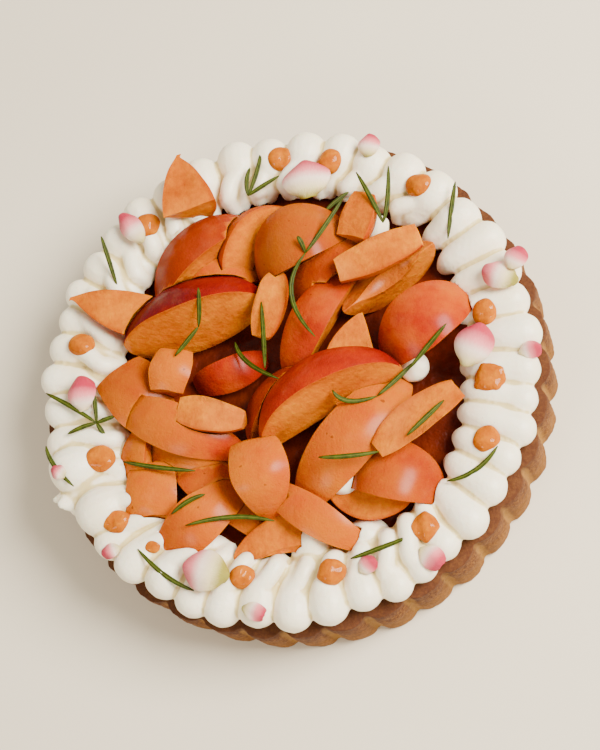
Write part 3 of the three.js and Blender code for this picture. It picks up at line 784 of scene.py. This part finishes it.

# %% [markdown]
# ## Apricot flesh and skin
#
# Skin and flesh could be two materials, but their border would then be hard. Here
# one material mixes them by the stored marks. The flesh is bright orange with faint
# fibres, a darker line under the skin and a browner, rougher hollow; some cut faces
# get pale patches of painted sheen. The skin runs from orange to crimson by ripeness
# and is browner on some slices, partly its own brown and partly painted shade. It has
# a faint pale haze, partly its bloom and partly painted sheen, and small freckles. A
# little subsurface scattering gives both their moist glow.

# %% The apricot's finish
def apricot():
    fruit = Finish(
        "ripe_apricot",
        Subsurface_Weight=0.3,
        Subsurface_Radius=(0.005, 0.002, 0.0006),
        Subsurface_Scale=0.8,
        Specular_IOR_Level=0.0,
        Coat_Roughness=0.27,
        Coat_Weight=0.22,
    )
    skin = fruit.attribute("skin")
    depth = fruit.attribute("depth")
    patches = fruit.noise(60, 3, 0.5)
    fibre = fruit.noise(420, 4, 0.6)
    fine = fruit.noise(1700, 3, 0.6)

    flesh = fruit.ramp(
        patches * 0.65 + fibre * 0.35,
        (0.32, "#a44800"), (0.48, "#bd6000"), (0.6, "#cd7200"), (0.72, "#dc8808"),
    )
    rind = fruit.between(depth, 0.86, 1.0)
    flesh = fruit.mix(rind * 0.5, flesh, "#963200")
    middle = fruit.between(fruit.attribute("middle"), 0.35, 0.6)
    stone = (1 - fruit.between(depth, 0.0, 0.2)) * middle
    flesh = fruit.mix(stone * 0.4, flesh, "#8c3c10")
    # Painted sheen: pale highlight patches on the cut faces of the marked slices.
    sheen = fruit.attribute("pale") * fruit.between(fruit.noise(38, 2), 0.42, 0.62)
    flesh = fruit.mix(sheen * 0.3, flesh, "#dd8c40")

    ripe = fruit.attribute("blush") + (patches - 0.5) * 0.9 + (fibre - 0.5) * 0.2
    peel = fruit.ramp(
        ripe,
        (0.0, "#bf6200"), (0.3, "#b44800"), (0.55, "#9c2200"),
        (0.8, "#800e04"), (1.0, "#620a10"),
    )
    # Browner skin on some slices: partly the fruit's own brown, partly painted shade on slices that
    # lie in shade.
    peel = fruit.mix(fruit.attribute("dull") * 0.6, peel, "#7c3a04")
    # A faint pale haze on the skin: partly its fuzzy bloom, partly a painted sheen.
    bloom_and_sheen = fruit.between(fruit.noise(95, 4, 0.65), 0.5, 0.75)
    peel = fruit.mix(bloom_and_sheen * 0.06, peel, "#d8925c")
    freckle = fruit.between(fruit.noise(330, 1), 0.76, 0.8)
    peel = fruit.mix(freckle * 0.6, peel, "#5a1c06")

    colour = fruit.mix(skin, flesh, peel)
    rough = 0.4 + fibre * 0.2 + stone * 0.2
    strands = patches + fibre * 0.8 + fine * 0.3
    pores = fibre * 0.6 + fine * 0.5
    relief = (1 - skin) * strands + skin * pores + stone * fibre
    return fruit.wear(Base_Color=colour, Roughness=rough, Normal=fruit.bump(relief, 0.8 * MM))


apricot_finish = apricot()
for piece, entry in zip(slices, SLICES):
    dressed(piece, apricot_finish, "apricot", f"slice_{entry['id']}")
print("slices dressed")

# %% [markdown]
# ## The rope of cream
#
# The cream is piped through a plain round nozzle that swings out over the rim
# and back, so each turn is a plump lobe outside and a narrow neck inside, with a
# fold on its back. One long swept curve could follow the nozzle, but where its
# turns touch it would only cross itself. So each turn is a strand or two with a
# round bevel and a radius at every point, and one more strand is drawn out to a
# point where the nozzle let go. A voxel remesh then melts them into one another,
# as soft cream does.

# %% Where the rope turns
# The middle of each turn, in degrees from +X.
ROPE_TURNS = [
    5, 13.5, 21.5, 30, 38.5, 48, 57.5, 66.5, 75, 84, 93.5, 102,
    112, 121, 130, 138.5, 147, 155, 162, 169.5, 177.5, 185.5, 194, 201.5,
    215, 222.5, 230.5, 239.5, 248, 255.5, 264, 272.5, 281, 289.5, 297, 304,
    311, 319, 327.5, 335, 342.5, 349.5, 356.5,
]
ROPE_OUTER = 97.4
CREAM_FOOT = CRUST_HEIGHT + GAP
# Where the necks begin, at every 60 degrees, and how deep the folds are, at every 30.
ROPE_INNER = (67, 74, 72, 66, 68, 73)
FOLD_DEPTH = (0.35, 0.45, 0.8, 1.0, 1.0, 0.8, 0.6, 0.6, 0.75, 1.0, 0.75, 0.45)
SHALLOW_FOLD = 0.55
# A lobe's radius is this share of the room between two turns on this circle.
LOBE_CIRCLE = 90
LOBE_SHARE = 0.56
# How far one turn differs from the next.
WANDER = 1.1
# Where the nozzle let go: each place as radius, angle and height, and its thickness.
ROPE_TAIL = [
    ((70, 209, 32), 5.0),
    ((82, 208.5, 33.5), 6.2),
    ((91, 207.5, 34), 5.2),
    ((97, 206.5, 34), 3.2),
    ((102, 205.5, 34), 0.9),
]


def round_the_ring(values, degrees):
    """A value listed for equal steps round the ring, blended between neighbours."""
    place = (degrees % 360) / 360 * len(values)
    index = int(place) % len(values)
    share = 0.5 - 0.5 * math.cos((place - int(place)) * math.pi)
    return values[index] * (1 - share) + values[(index + 1) % len(values)] * share


print("turns of the rope", len(ROPE_TURNS))


# %% Pipe the turns as curves
def polar(radius, degrees, height):
    angle = math.radians(degrees)
    return Vector((radius * math.cos(angle), radius * math.sin(angle), height))


def pipe(splines, points):
    """One strand: a list of (place in mm, radius in mm)."""
    line = splines.new("NURBS")
    line.points.add(len(points) - 1)
    for point, (place, radius) in zip(line.points, points):
        point.co = (*(place * MM), 1)
        point.radius = radius
    line.order_u = 3
    line.use_endpoint_u = True


def pipe_turn(splines, k):
    """One turn, from its neck inside to its lobe outside, and the fold on its back."""
    here = ROPE_TURNS[k]
    after = ROPE_TURNS[k + 1] if k + 1 < len(ROPE_TURNS) else ROPE_TURNS[0] + 360
    before = ROPE_TURNS[k - 1] if k else ROPE_TURNS[-1] - 360
    pitch = (after - before) / 2
    inner = round_the_ring(ROPE_INNER, here)
    fold = round_the_ring(FOLD_DEPTH, here)
    reach = WANDER * math.sin(4.1 * k + 1)
    lift = WANDER * math.sin(2.4 * k)
    plump = math.radians(pitch) * LOBE_CIRCLE * LOBE_SHARE
    outer = ROPE_OUTER + reach - plump
    mid = (inner + outer) / 2
    base = CREAM_FOOT + plump
    pipe(splines, [
        (polar(inner + 1.5, here + 0.24 * pitch, CREAM_FOOT + 1), 2.6),
        (polar(inner + 4, here + 0.20 * pitch, CREAM_FOOT + 5), 5.0),
        (polar(mid, here + 0.10 * pitch, CREAM_FOOT + 6.8 + 0.4 * lift), 6.9 - 1.5 * fold),
        (polar(outer - 3, here + 0.02 * pitch, base + 0.4 * lift), plump),
        (polar(outer + 0.20 * plump, here, base), plump * 1.02),
        (polar(outer + 0.62 * plump, here, base - 0.4), plump * 0.88),
        (polar(outer + 0.95 * plump, here, base - 0.8), plump * 0.52),
        (polar(outer + 1.05 * plump, here, base - 0.8), plump * 0.05),
    ])
    if fold < SHALLOW_FOLD:
        return
    swing = 0.5 + 0.12 * math.sin(1.7 * k)
    crest = CREAM_FOOT + 10.5 + lift
    pipe(splines, [
        (polar(outer + 1, here - 0.12 * pitch, crest - 4.5), 3.2),
        (polar(outer - 4, here - 0.20 * pitch * fold, crest - 0.8 + 0.6 * fold), 3.7),
        (polar(mid + 1, here + 0.25 * pitch * fold, crest + 0.6 * fold), 3.6),
        (polar(mid - 5, here + swing * pitch, crest + 0.4 * fold), 3.4),
        (polar(inner + 3.5, here + 0.55 * pitch, crest - 2), 3.6),
        (polar(inner + 1, here + 0.5 * pitch, CREAM_FOOT + 3), 3.4),
    ])


def piped_rope():
    curve = start(bpy.ops.curve.primitive_nurbs_path_add)
    curve.data.splines.clear()
    curve.data.bevel_depth = MM
    curve.data.bevel_resolution = 6
    curve.data.resolution_u = 6
    curve.data.use_fill_caps = True
    for k in range(len(ROPE_TURNS)):
        pipe_turn(curve.data.splines, k)
    pipe(curve.data.splines, [(polar(*place), radius) for place, radius in ROPE_TAIL])
    bpy.ops.object.convert(target="MESH")
    return bpy.context.object


rope = piped_rope()
print("rope", len(rope.data.polygons), "faces before it melts together")

# %% [markdown]
# ## Dollops and kisses
#
# A few dollops lie at the rope's inner edge, and three small kisses of cream sit
# among the fruit. Each was pressed out in one place and pulled off, so it is a
# ball whose upper half is narrowed and leaned. A curve could be spun round, but
# that would stand straight and even.

# %% Make the drops of cream
DOLLOPS = [
    dict(at=(10, -67, 31), radius=8, height=8, lean=(2, 3)),
    dict(at=(31, -65, 30), radius=9, height=8, lean=(0, 2)),
    dict(at=(-27, -67, 31), radius=7, height=7, lean=(0, 2)),
    dict(at=(-80, -44, 33), radius=7, height=6, lean=(-8, -3)),
]
KISSES = {
    "a": dict(at=(37, 54, 38), radius=5.5, height=6, lean=(0, 1)),
    "b": dict(at=(24, -43, 37), radius=7, height=7, lean=(-5, -3)),
    "c": dict(at=(50, -1, 33), radius=5.8, height=6, lean=(1, 1)),
}
NARROWED = 0.35


def cream_drop(at, radius, height, lean):
    drop = start(bpy.ops.mesh.primitive_uv_sphere_add, segments=32, ring_count=20, radius=1)
    places = corners(drop) * MM
    for place in places:
        up = max(0, place[2])
        wide = radius * (1 - NARROWED * up)
        wobble = 0.5 * noise.noise(Vector(place) * 1.7 + Vector(at))
        place[0] = at[0] + (wide + wobble) * place[0] + lean[0] * up * up
        place[1] = at[1] + (wide + wobble) * place[1] + lean[1] * up * up
        place[2] = at[2] + height * place[2]
    return move_corners(drop, places)


dollops = [cream_drop(**entry) for entry in DOLLOPS]
kisses = [named(cream_drop(**entry), f"cream_kiss_{mark}_piped") for mark, entry in KISSES.items()]
print("dollops", len(dollops), "kisses", len(kisses))


# %% Melt the rope together and press it against the fruit
VOXEL = 0.8
ring = joined([rope] + dollops, "cream_rope")
finished(ring, "REMESH", mode="VOXEL", voxel_size=VOXEL * MM)
finished(ring, "SMOOTH", factor=0.5, iterations=3)
places = corners(ring)
places[:, 2] = np.maximum(places[:, 2], CREAM_FOOT - 0.2)
move_corners(ring, places)
cut_clear(ring, cutters)
largest_part(ring)
store(ring, "crease", hollows(ring, rounds=22, depth=0.3))
smooth(ring)
for kiss in kisses:
    cut_clear(kiss, cutters)
    largest_part(kiss)
    store(kiss, "crease", np.zeros(len(kiss.data.vertices)))
    smooth(kiss, 60)
for cutter in cutters:
    bpy.data.objects.remove(cutter)
print("ring", len(ring.data.polygons), "faces")

# %% [markdown]
# ## Ivory cream
#
# The cream is soft and slightly glossy, ivory on the open lobes, with painted shade
# in yellow in the folds. The folds could be painted by hand, but the creases measured
# on the mesh give them by one rule. Specks of vanilla are the sparse peaks of a fine
# noise.

# %% The cream's finish
def ivory_cream():
    cream = Finish(
        "ivory_cream",
        Subsurface_Weight=0.3,
        Subsurface_Radius=(0.003, 0.002, 0.0012),
        Subsurface_Scale=0.8,
        Roughness=0.42,
    )
    patches = cream.noise(55, 3)
    silk = cream.noise(520, 3, 0.55)
    colour = cream.ramp(patches, (0.3, "#f8ebcb"), (0.7, "#fff4dc"))
    # Painted shade: the creases darken to a deep yellow.
    fold = cream.between(cream.attribute("crease"), 0.05, 1.0)
    colour = cream.mix(fold * 0.7, colour, "#c4a945")
    speck = cream.between(cream.noise(1500, 1), 0.775, 0.8)
    colour = cream.mix(speck * 0.65, colour, "#7d6a4a")
    return cream.wear(Base_Color=colour, Normal=cream.bump(silk, 0.25 * MM))


cream_finish = ivory_cream()
dressed(ring, cream_finish, "cream", "cream_ring")
for kiss, mark in zip(kisses, KISSES):
    dressed(kiss, cream_finish, "cream", "cream_kiss_" + mark)
print("cream dressed")

# %% [markdown]
# ## Laying things on the heap
#
# Curd, petals and rosemary lie on whatever is under them. Their heights could be
# listed by hand, but a ray cast straight down finds them, so nothing hangs in the
# air, and what is pressed into the cream sinks in by a set depth.

# %% Feel for the surface from above
ABOVE_ALL = 200


def surfaces(pieces):
    graph = bpy.context.evaluated_depsgraph_get()
    return [BVHTree.FromObject(piece, graph) for piece in pieces]


def height_over(x, y, trees):
    best = JAM_LEVEL
    for tree in trees:
        hit = tree.ray_cast(Vector((x, y, ABOVE_ALL)) * MM, Vector((0, 0, -1)))[0]
        if hit:
            best = max(best, hit.z / MM)
    return best


def rise_over(places, trees):
    """How far a shape must rise to lie clear of what is under it."""
    return max(height_over(p[0], p[1], trees) - p[2] for p in places)


on_cream = surfaces([ring])
ground = surfaces(slices + [ring, crust] + kisses)
print("height at the middle", round(height_over(0, 0, ground), 1))

# %% [markdown]
# ## Drops of curd
#
# Each drop is thick apricot curd that slumps a little over the cream. A simulation
# could let it settle, but a flattened ball whose corners follow the cream under
# them does the same at once. points draws four corners out of its outline.

# %% Set the drops of curd
CURD = [
    dict(at=(0, 86)),
    dict(at=(20, 82), yaw=60),
    dict(at=(55, 68)),
    dict(at=(78, 16), yaw=90),
    dict(at=(79, -9), size=(12, 11), yaw=30, points=0.14),
    dict(at=(77, -32), yaw=45),
    dict(at=(54, -63), yaw=90, points=0.1),
    dict(at=(20, -78), yaw=20, points=0.08),
    dict(at=(-14, -78), size=(9.5, 8.5)),
    dict(at=(-63, -55), size=(10.4, 8.4), yaw=20, points=0.08),
    dict(at=(-71, -30), size=(12, 10.5)),
    dict(at=(-80, 16)),
    dict(at=(-54, 63), yaw=40),
    dict(at=(-49, -65), size=(6, 5), height=1.2),
]
# The share of the cream's own rise and fall that a drop follows. Then in mm, how far
# it sinks in, how thick it is below its edge, and the most that its edge droops.
FOLLOWS = 0.35
SINKS = 0.6
BELOW = 0.8
DROOP = 3


def curd_drop(at, size=(10.4, 9.4), yaw=0, height=3.4, points=0.0):
    drop = start(bpy.ops.mesh.primitive_uv_sphere_add, segments=40, ring_count=20, radius=1)
    turn = math.radians(yaw)
    middle = height_over(*at, on_cream)
    places = corners(drop) * MM
    for place in places:
        angle = math.atan2(place[1], place[0])
        wobble = 1 + 0.09 * noise.noise(Vector((math.cos(angle), math.sin(angle), at[0])) * 1.3)
        wobble += points * max(0, math.cos(4 * angle)) ** 2
        x, y = place[0] * size[0] / 2 * wobble, place[1] * size[1] / 2 * wobble
        px = at[0] + x * math.cos(turn) - y * math.sin(turn)
        py = at[1] + x * math.sin(turn) + y * math.cos(turn)
        here = max(height_over(px, py, on_cream), middle - DROOP)
        dome = height * max(0, place[2]) ** 0.8 - BELOW * max(0, -place[2])
        place[:] = px, py, FOLLOWS * here + (1 - FOLLOWS) * middle + dome - SINKS
    return smooth(move_corners(drop, places))


curd = joined([curd_drop(**entry) for entry in CURD], "curd_drops")
print("curd", len(curd.data.polygons), "faces")


# %% The curd's finish
def bright_curd():
    gloss = Finish(
        "bright_curd",
        Subsurface_Weight=0.15,
        Subsurface_Radius=(0.003, 0.0012, 0.0004),
        Subsurface_Scale=0.6,
        Specular_IOR_Level=0.0,
        Coat_Weight=0.25,
        Coat_Roughness=0.06,
    )
    pulp = gloss.noise(260, 3, 0.6)
    colour = gloss.ramp(pulp, (0.3, "#a45000"), (0.55, "#b46000"), (0.75, "#c47200"))
    rough = 0.25 + pulp * 0.15
    return gloss.wear(Base_Color=colour, Roughness=rough, Normal=gloss.bump(pulp, 0.9 * MM))


dressed(curd, bright_curd(), "apricot")
print("curd dressed")

# %% [markdown]
# ## Petals
#
# A petal is a thin cupped sheet, rounded at its tip and narrow at its base. Cloth
# simulation could curl it, but a petal is stiff and keeps its cup. So a flat grid
# is bent into it, its edge waves a little, and Solidify gives it a thickness. The
# grid's own UV map runs from base to tip, and the colours use it.

# %% Lay the petals
PETALS = [
    dict(at=(12, 73), yaw=95, pitch=-6, size=(16, 19), cup=4.3, pink=0.55),
    dict(at=(-59, 61), yaw=128, size=(16, 8), cup=3, pink=0.75),
    dict(at=(-78, -5), yaw=95, size=(14, 11), cup=3.5, pink=1.0),
    dict(at=(74, 2), yaw=65, size=(17, 14), cup=4, pink=0.7),
    dict(at=(85, 28), yaw=155, size=(14, 10), cup=3, pink=0.35),
    dict(at=(91, 33), yaw=60, size=(9, 8), cup=2, pink=0.8),
    dict(at=(-26, -76), yaw=165, size=(18, 15), cup=4, pink=0.3),
]
SMALL_PETALS = [
    dict(at=(36, 86), yaw=80, size=(9, 8), cup=2.5, pink=0.6),
    dict(at=(94, 0), yaw=10, size=(8, 6), cup=2, pink=0.8),
    dict(at=(-9, -91), yaw=-20, size=(9, 6), cup=1.8, pink=0.5),
    dict(at=(56, -74), yaw=-40, size=(10, 8), cup=2.5, pink=0.7),
    dict(at=(33, -76), yaw=40, size=(7, 6), cup=2, pink=0.9),
    dict(at=(-65, -66), yaw=200, size=(7, 5), cup=1.8, pink=0.8),
    dict(at=(-85, -36), yaw=150, size=(6, 5), cup=1.8, pink=0.8),
]
PETAL_THICKNESS = 0.7
PETAL_WAVE = 0.35
# How far the large petals lie above what is under them, and the small ones sink in.
PETAL_GAP = 0.2
PETAL_SUNK = -0.9


def petal(entry, trees, lift):
    sheet = start(bpy.ops.mesh.primitive_grid_add, x_subdivisions=20, y_subdivisions=16, size=2)
    long, wide = entry["size"]
    x, y = entry["at"]
    frame_of = turned((x, y, 0), entry["yaw"], entry.get("pitch", 0))
    places = []
    for u, v, _ in corners(sheet) * MM:
        breadth = math.sqrt(max(0.1, 1 - (0.95 * u - 0.12) ** 2))
        edge = u * u * 0.8 + v * v * (0.6 + 0.4 * breadth)
        wave = PETAL_WAVE * math.sin(2.3 * u + 3.1 * v)
        ruffle = PETAL_WAVE * math.sin(7 * v + 2 * u + x) * max(0, u) ** 2
        place = Vector((
            long / 2 * u * (1 - 0.22 * v * v),
            wide / 2 * v * breadth,
            entry["cup"] * (1 - edge) + wave + ruffle,
        ))
        places.append(frame_of @ place)
    rise = rise_over(places, trees) + lift
    move_corners(sheet, [(place + Vector((0, 0, rise)))[:] for place in places])
    store(sheet, "pink", np.full(len(places), entry["pink"]))
    finished(sheet, "SOLIDIFY", thickness=PETAL_THICKNESS * MM, offset=1)
    finished(sheet, "SUBSURF", levels=1, render_levels=1)
    return smooth(sheet)


petals = []
for i, entry in enumerate(PETALS):
    sheet = named(petal(entry, ground, PETAL_GAP), f"petal_{i + 1}_cupped")
    petals.append(sheet)
    ground += surfaces([sheet])
small_petals = joined([petal(entry, ground, PETAL_SUNK) for entry in SMALL_PETALS], "small_petals")
print("petals", len(petals), "and small ones", len(small_petals.data.polygons), "faces")


# %% The petals' finish
def petal_blush():
    soft = Finish(
        "petal_blush",
        Subsurface_Weight=0.3,
        Subsurface_Radius=(0.002, 0.001, 0.001),
        Subsurface_Scale=0.5,
        Roughness=0.5,
    )
    uv = soft.node("ShaderNodeUVMap", output="UV")
    along = soft.node("ShaderNodeSeparateXYZ", sockets=[uv], output=0)
    veins = soft.noise(9, 3, 0.6, uv, (1, 9, 1))
    pink = soft.attribute("pink")
    tint = along + (veins - 0.5) * 0.25 + (pink - 0.5) * 0.5
    colour = soft.ramp(
        tint,
        (0.06, "#a09428"), (0.24, "#ecd9a0"), (0.46, "#fbdfcc"),
        (0.66, "#ee8488"), (0.92, "#bc1c40"),
    )
    return soft.wear(Base_Color=colour, Normal=soft.bump(veins, 0.4 * MM))


petal_finish = petal_blush()
for i, sheet in enumerate(petals):
    dressed(sheet, petal_finish, "petal", f"petal_{i + 1}")
dressed(small_petals, petal_finish, "petal")
print("petals dressed")

# %% [markdown]
# ## Rosemary
#
# A rosemary leaf is a stiff needle with a groove along its back and a pale
# underside. A thin tube along a curve would be quicker, but it would have
# neither. So a subdivided cube is rounded and tapered along a bent line through
# three points. A sprig's leaves share the point where they meet.

# %% The sprigs, each leaf by its start, middle and end
CREAM_SPRIGS = [
    [((-70.4, 57.4, 46), (-68.2, 48.9, 43), (-65.9, 38.6, 38.5))],
    [
        ((-12.5, 71, 41), (-9, 80, 41.5), (-7.3, 89.4, 41)),
        ((-12.5, 71, 41), (-13, 77, 41.5), (-11.7, 82.6, 41.5)),
        ((-12.5, 71, 41), (-7, 74, 41.5), (0, 78, 41)),
    ],
    [((69.4, 66.5, 44), (67.4, 57, 42), (65.5, 45.2, 41))],
    [((81.2, -35.4, 41), (73, -43.5, 40.5), (62.3, -46.9, 40))],
    [((48.8, -66.6, 40.5), (37.6, -70.3, 40), (27, -73.5, 40))],
    [((-54, -66.1, 42), (-43, -76.4, 42.5), (-31.9, -82.5, 41.5))],
    [((-91.1, -25.2, 40), (-87.5, -33, 39.5), (-79.6, -41.3, 38.5))],
    [
        ((-72.1, -16.5, 41.5), (-82.5, -9.5, 43), (-93, -3.5, 43)),
        ((-72.1, -16.5, 41.5), (-77.5, -18, 42.5), (-83.2, -20.5, 43)),
        ((-72.1, -16.5, 41.5), (-72.5, -10, 42.5), (-73.5, -4, 43)),
        ((-72.1, -16.5, 41.5), (-68.5, -15.5, 42), (-64.5, -14.5, 42)),
        ((-72.1, -16.5, 41.5), (-70.5, -19, 41), (-69.2, -21, 40)),
    ],
    [((27, 70, 42), (22, 66, 43), (18, 62, 44))],
]
FRUIT_SPRIGS = [
    [
        ((-26.5, 28.5, 57.5), (-27.5, 22, 53), (-29, 16, 49)),
        ((-29, 16, 49), (-33.5, 11, 48.5), (-38.5, 5.5, 48)),
    ],
    [((-17.5, 12, 46), (-12, 3, 48), (2.1, -6.4, 54))],
    [((-4.9, 24.4, 46), (-3.4, 10.5, 48), (-1.4, -3.8, 52.5))],
    [
        ((27.7, 62.1, 48), (20.7, 50.5, 49.5), (13.5, 40.5, 50)),
        ((13.5, 40.5, 50), (7.5, 25.5, 48), (16.6, 8, 48)),
        ((11.2, 46, 53.5), (12.5, 44, 52.5), (13.5, 40.5, 50)),
    ],
    [
        ((42.5, 51, 43), (38.5, 60.5, 44.5), (33.1, 71.3, 46)),
        ((42.5, 51, 43), (44.7, 60, 44.5), (45.5, 72.4, 46)),
    ],
    [((65.5, 9, 44), (58, 1.5, 42), (51, -6, 41))],
    [
        ((52.5, -2.7, 46), (46, -9, 47), (39, -15.6, 49)),
        ((23.8, -14, 55.5), (29, -17.5, 52), (39, -15.6, 49)),
    ],
    [((64, -19.8, 45.5), (57.8, -25.7, 46.5), (50.7, -32.6, 48))],
    [((18.9, -39.1, 52.5), (29.4, -39.1, 51.5), (40.2, -37.3, 48))],
    [((-61.5, -32, 39.5), (-46.3, -35.9, 42.5), (-31.6, -38, 42))],
    [((-39.9, -54.5, 45), (-33.2, -50.2, 46), (-26.9, -47.7, 45))],
    [((-33.5, -59.5, 45.5), (-17, -56.4, 41.5), (-1.5, -58.2, 39))],
]
LEAF_WIDTH = 1.9
LEAF_THICKNESS = 1.1
LEAF_GROOVE = 0.45
# A step along a leaf, as a share of its length, for finding its direction.
STEP = 0.02
# How far the sprigs lie above the fruit, and are pressed into the cream.
SPRIG_GAP = 0.1
SPRIG_PRESSED = -0.7


def leaf_line(points, share):
    """The place at a share of the curve that runs through a leaf's three points."""
    first, middle, last = [Vector(point) for point in points]
    return (
        first * (2 * share - 1) * (share - 1)
        + middle * 4 * share * (1 - share)
        + last * share * (2 * share - 1)
    )


def leaf(points):
    needle = subdivided(start(bpy.ops.mesh.primitive_cube_add, size=2), 9)
    across = []
    places = []
    for x, y, z in corners(needle) * MM:
        share = (x + 1) / 2
        centre = leaf_line(points, share)
        along = leaf_line(points, min(1, share + STEP)) - leaf_line(points, max(0, share - STEP))
        side = Vector((-along.y, along.x, 0)).normalized()
        full = 0.2 + 0.8 * math.sqrt(max(0, math.sin(math.pi * share)))
        round_y = y * math.sqrt(1 - z * z / 2)
        round_z = z * math.sqrt(1 - y * y / 2)
        groove = LEAF_GROOVE * max(0, 1 - abs(y) * 2.5) * max(0, z)
        place = centre + side * round_y * full * LEAF_WIDTH / 2
        place.z += (round_z - groove) * full * LEAF_THICKNESS / 2
        places.append(place[:])
        across.append(abs(y) if z > 0 else 2)
    move_corners(needle, places)
    store(needle, "across", across)
    return smooth(needle)


def sprig(leaves, name, trees, lift):
    needles = [leaf(points) for points in leaves]
    rise = max(rise_over(corners(needle), trees) for needle in needles) + lift
    for needle in needles:
        places = corners(needle)
        places[:, 2] += rise
        move_corners(needle, places)
    return joined(needles, name)


sprigs = [
    sprig(leaves, f"rosemary_{i + 1}_leaves", ground, SPRIG_GAP)
    for i, leaves in enumerate(FRUIT_SPRIGS)
]
pressed = [sprig(leaves, "pressed", on_cream, SPRIG_PRESSED) for leaves in CREAM_SPRIGS]
cream_rosemary = joined(pressed, "rosemary_on_cream")
print("sprigs", len(sprigs), "faces", sum(len(s.data.polygons) for s in sprigs))


# %% The rosemary's finish
def rosemary():
    green = Finish("rosemary_green", Specular_IOR_Level=0.15)
    across = green.attribute("across")
    mottle = green.noise(500, 3, 0.6)
    top = green.ramp(mottle, (0.3, "#222b00"), (0.7, "#3e4a06"))
    rib = 1 - green.between(across, 0.05, 0.3)
    top = green.mix(rib * 0.45, top, "#7e7c34")
    under = green.between(across, 1.0, 2.0)
    colour = green.mix(under * 0.6, top, "#6e6c38")
    rough = 0.42 + mottle * 0.2
    return green.wear(Base_Color=colour, Roughness=rough, Normal=green.bump(mottle, 0.3 * MM))


rosemary_finish = rosemary()
for i, piece in enumerate(sprigs):
    dressed(piece, rosemary_finish, "rosemary", f"rosemary_{i + 1}")
dressed(cream_rosemary, rosemary_finish, "rosemary")
print("rosemary dressed")
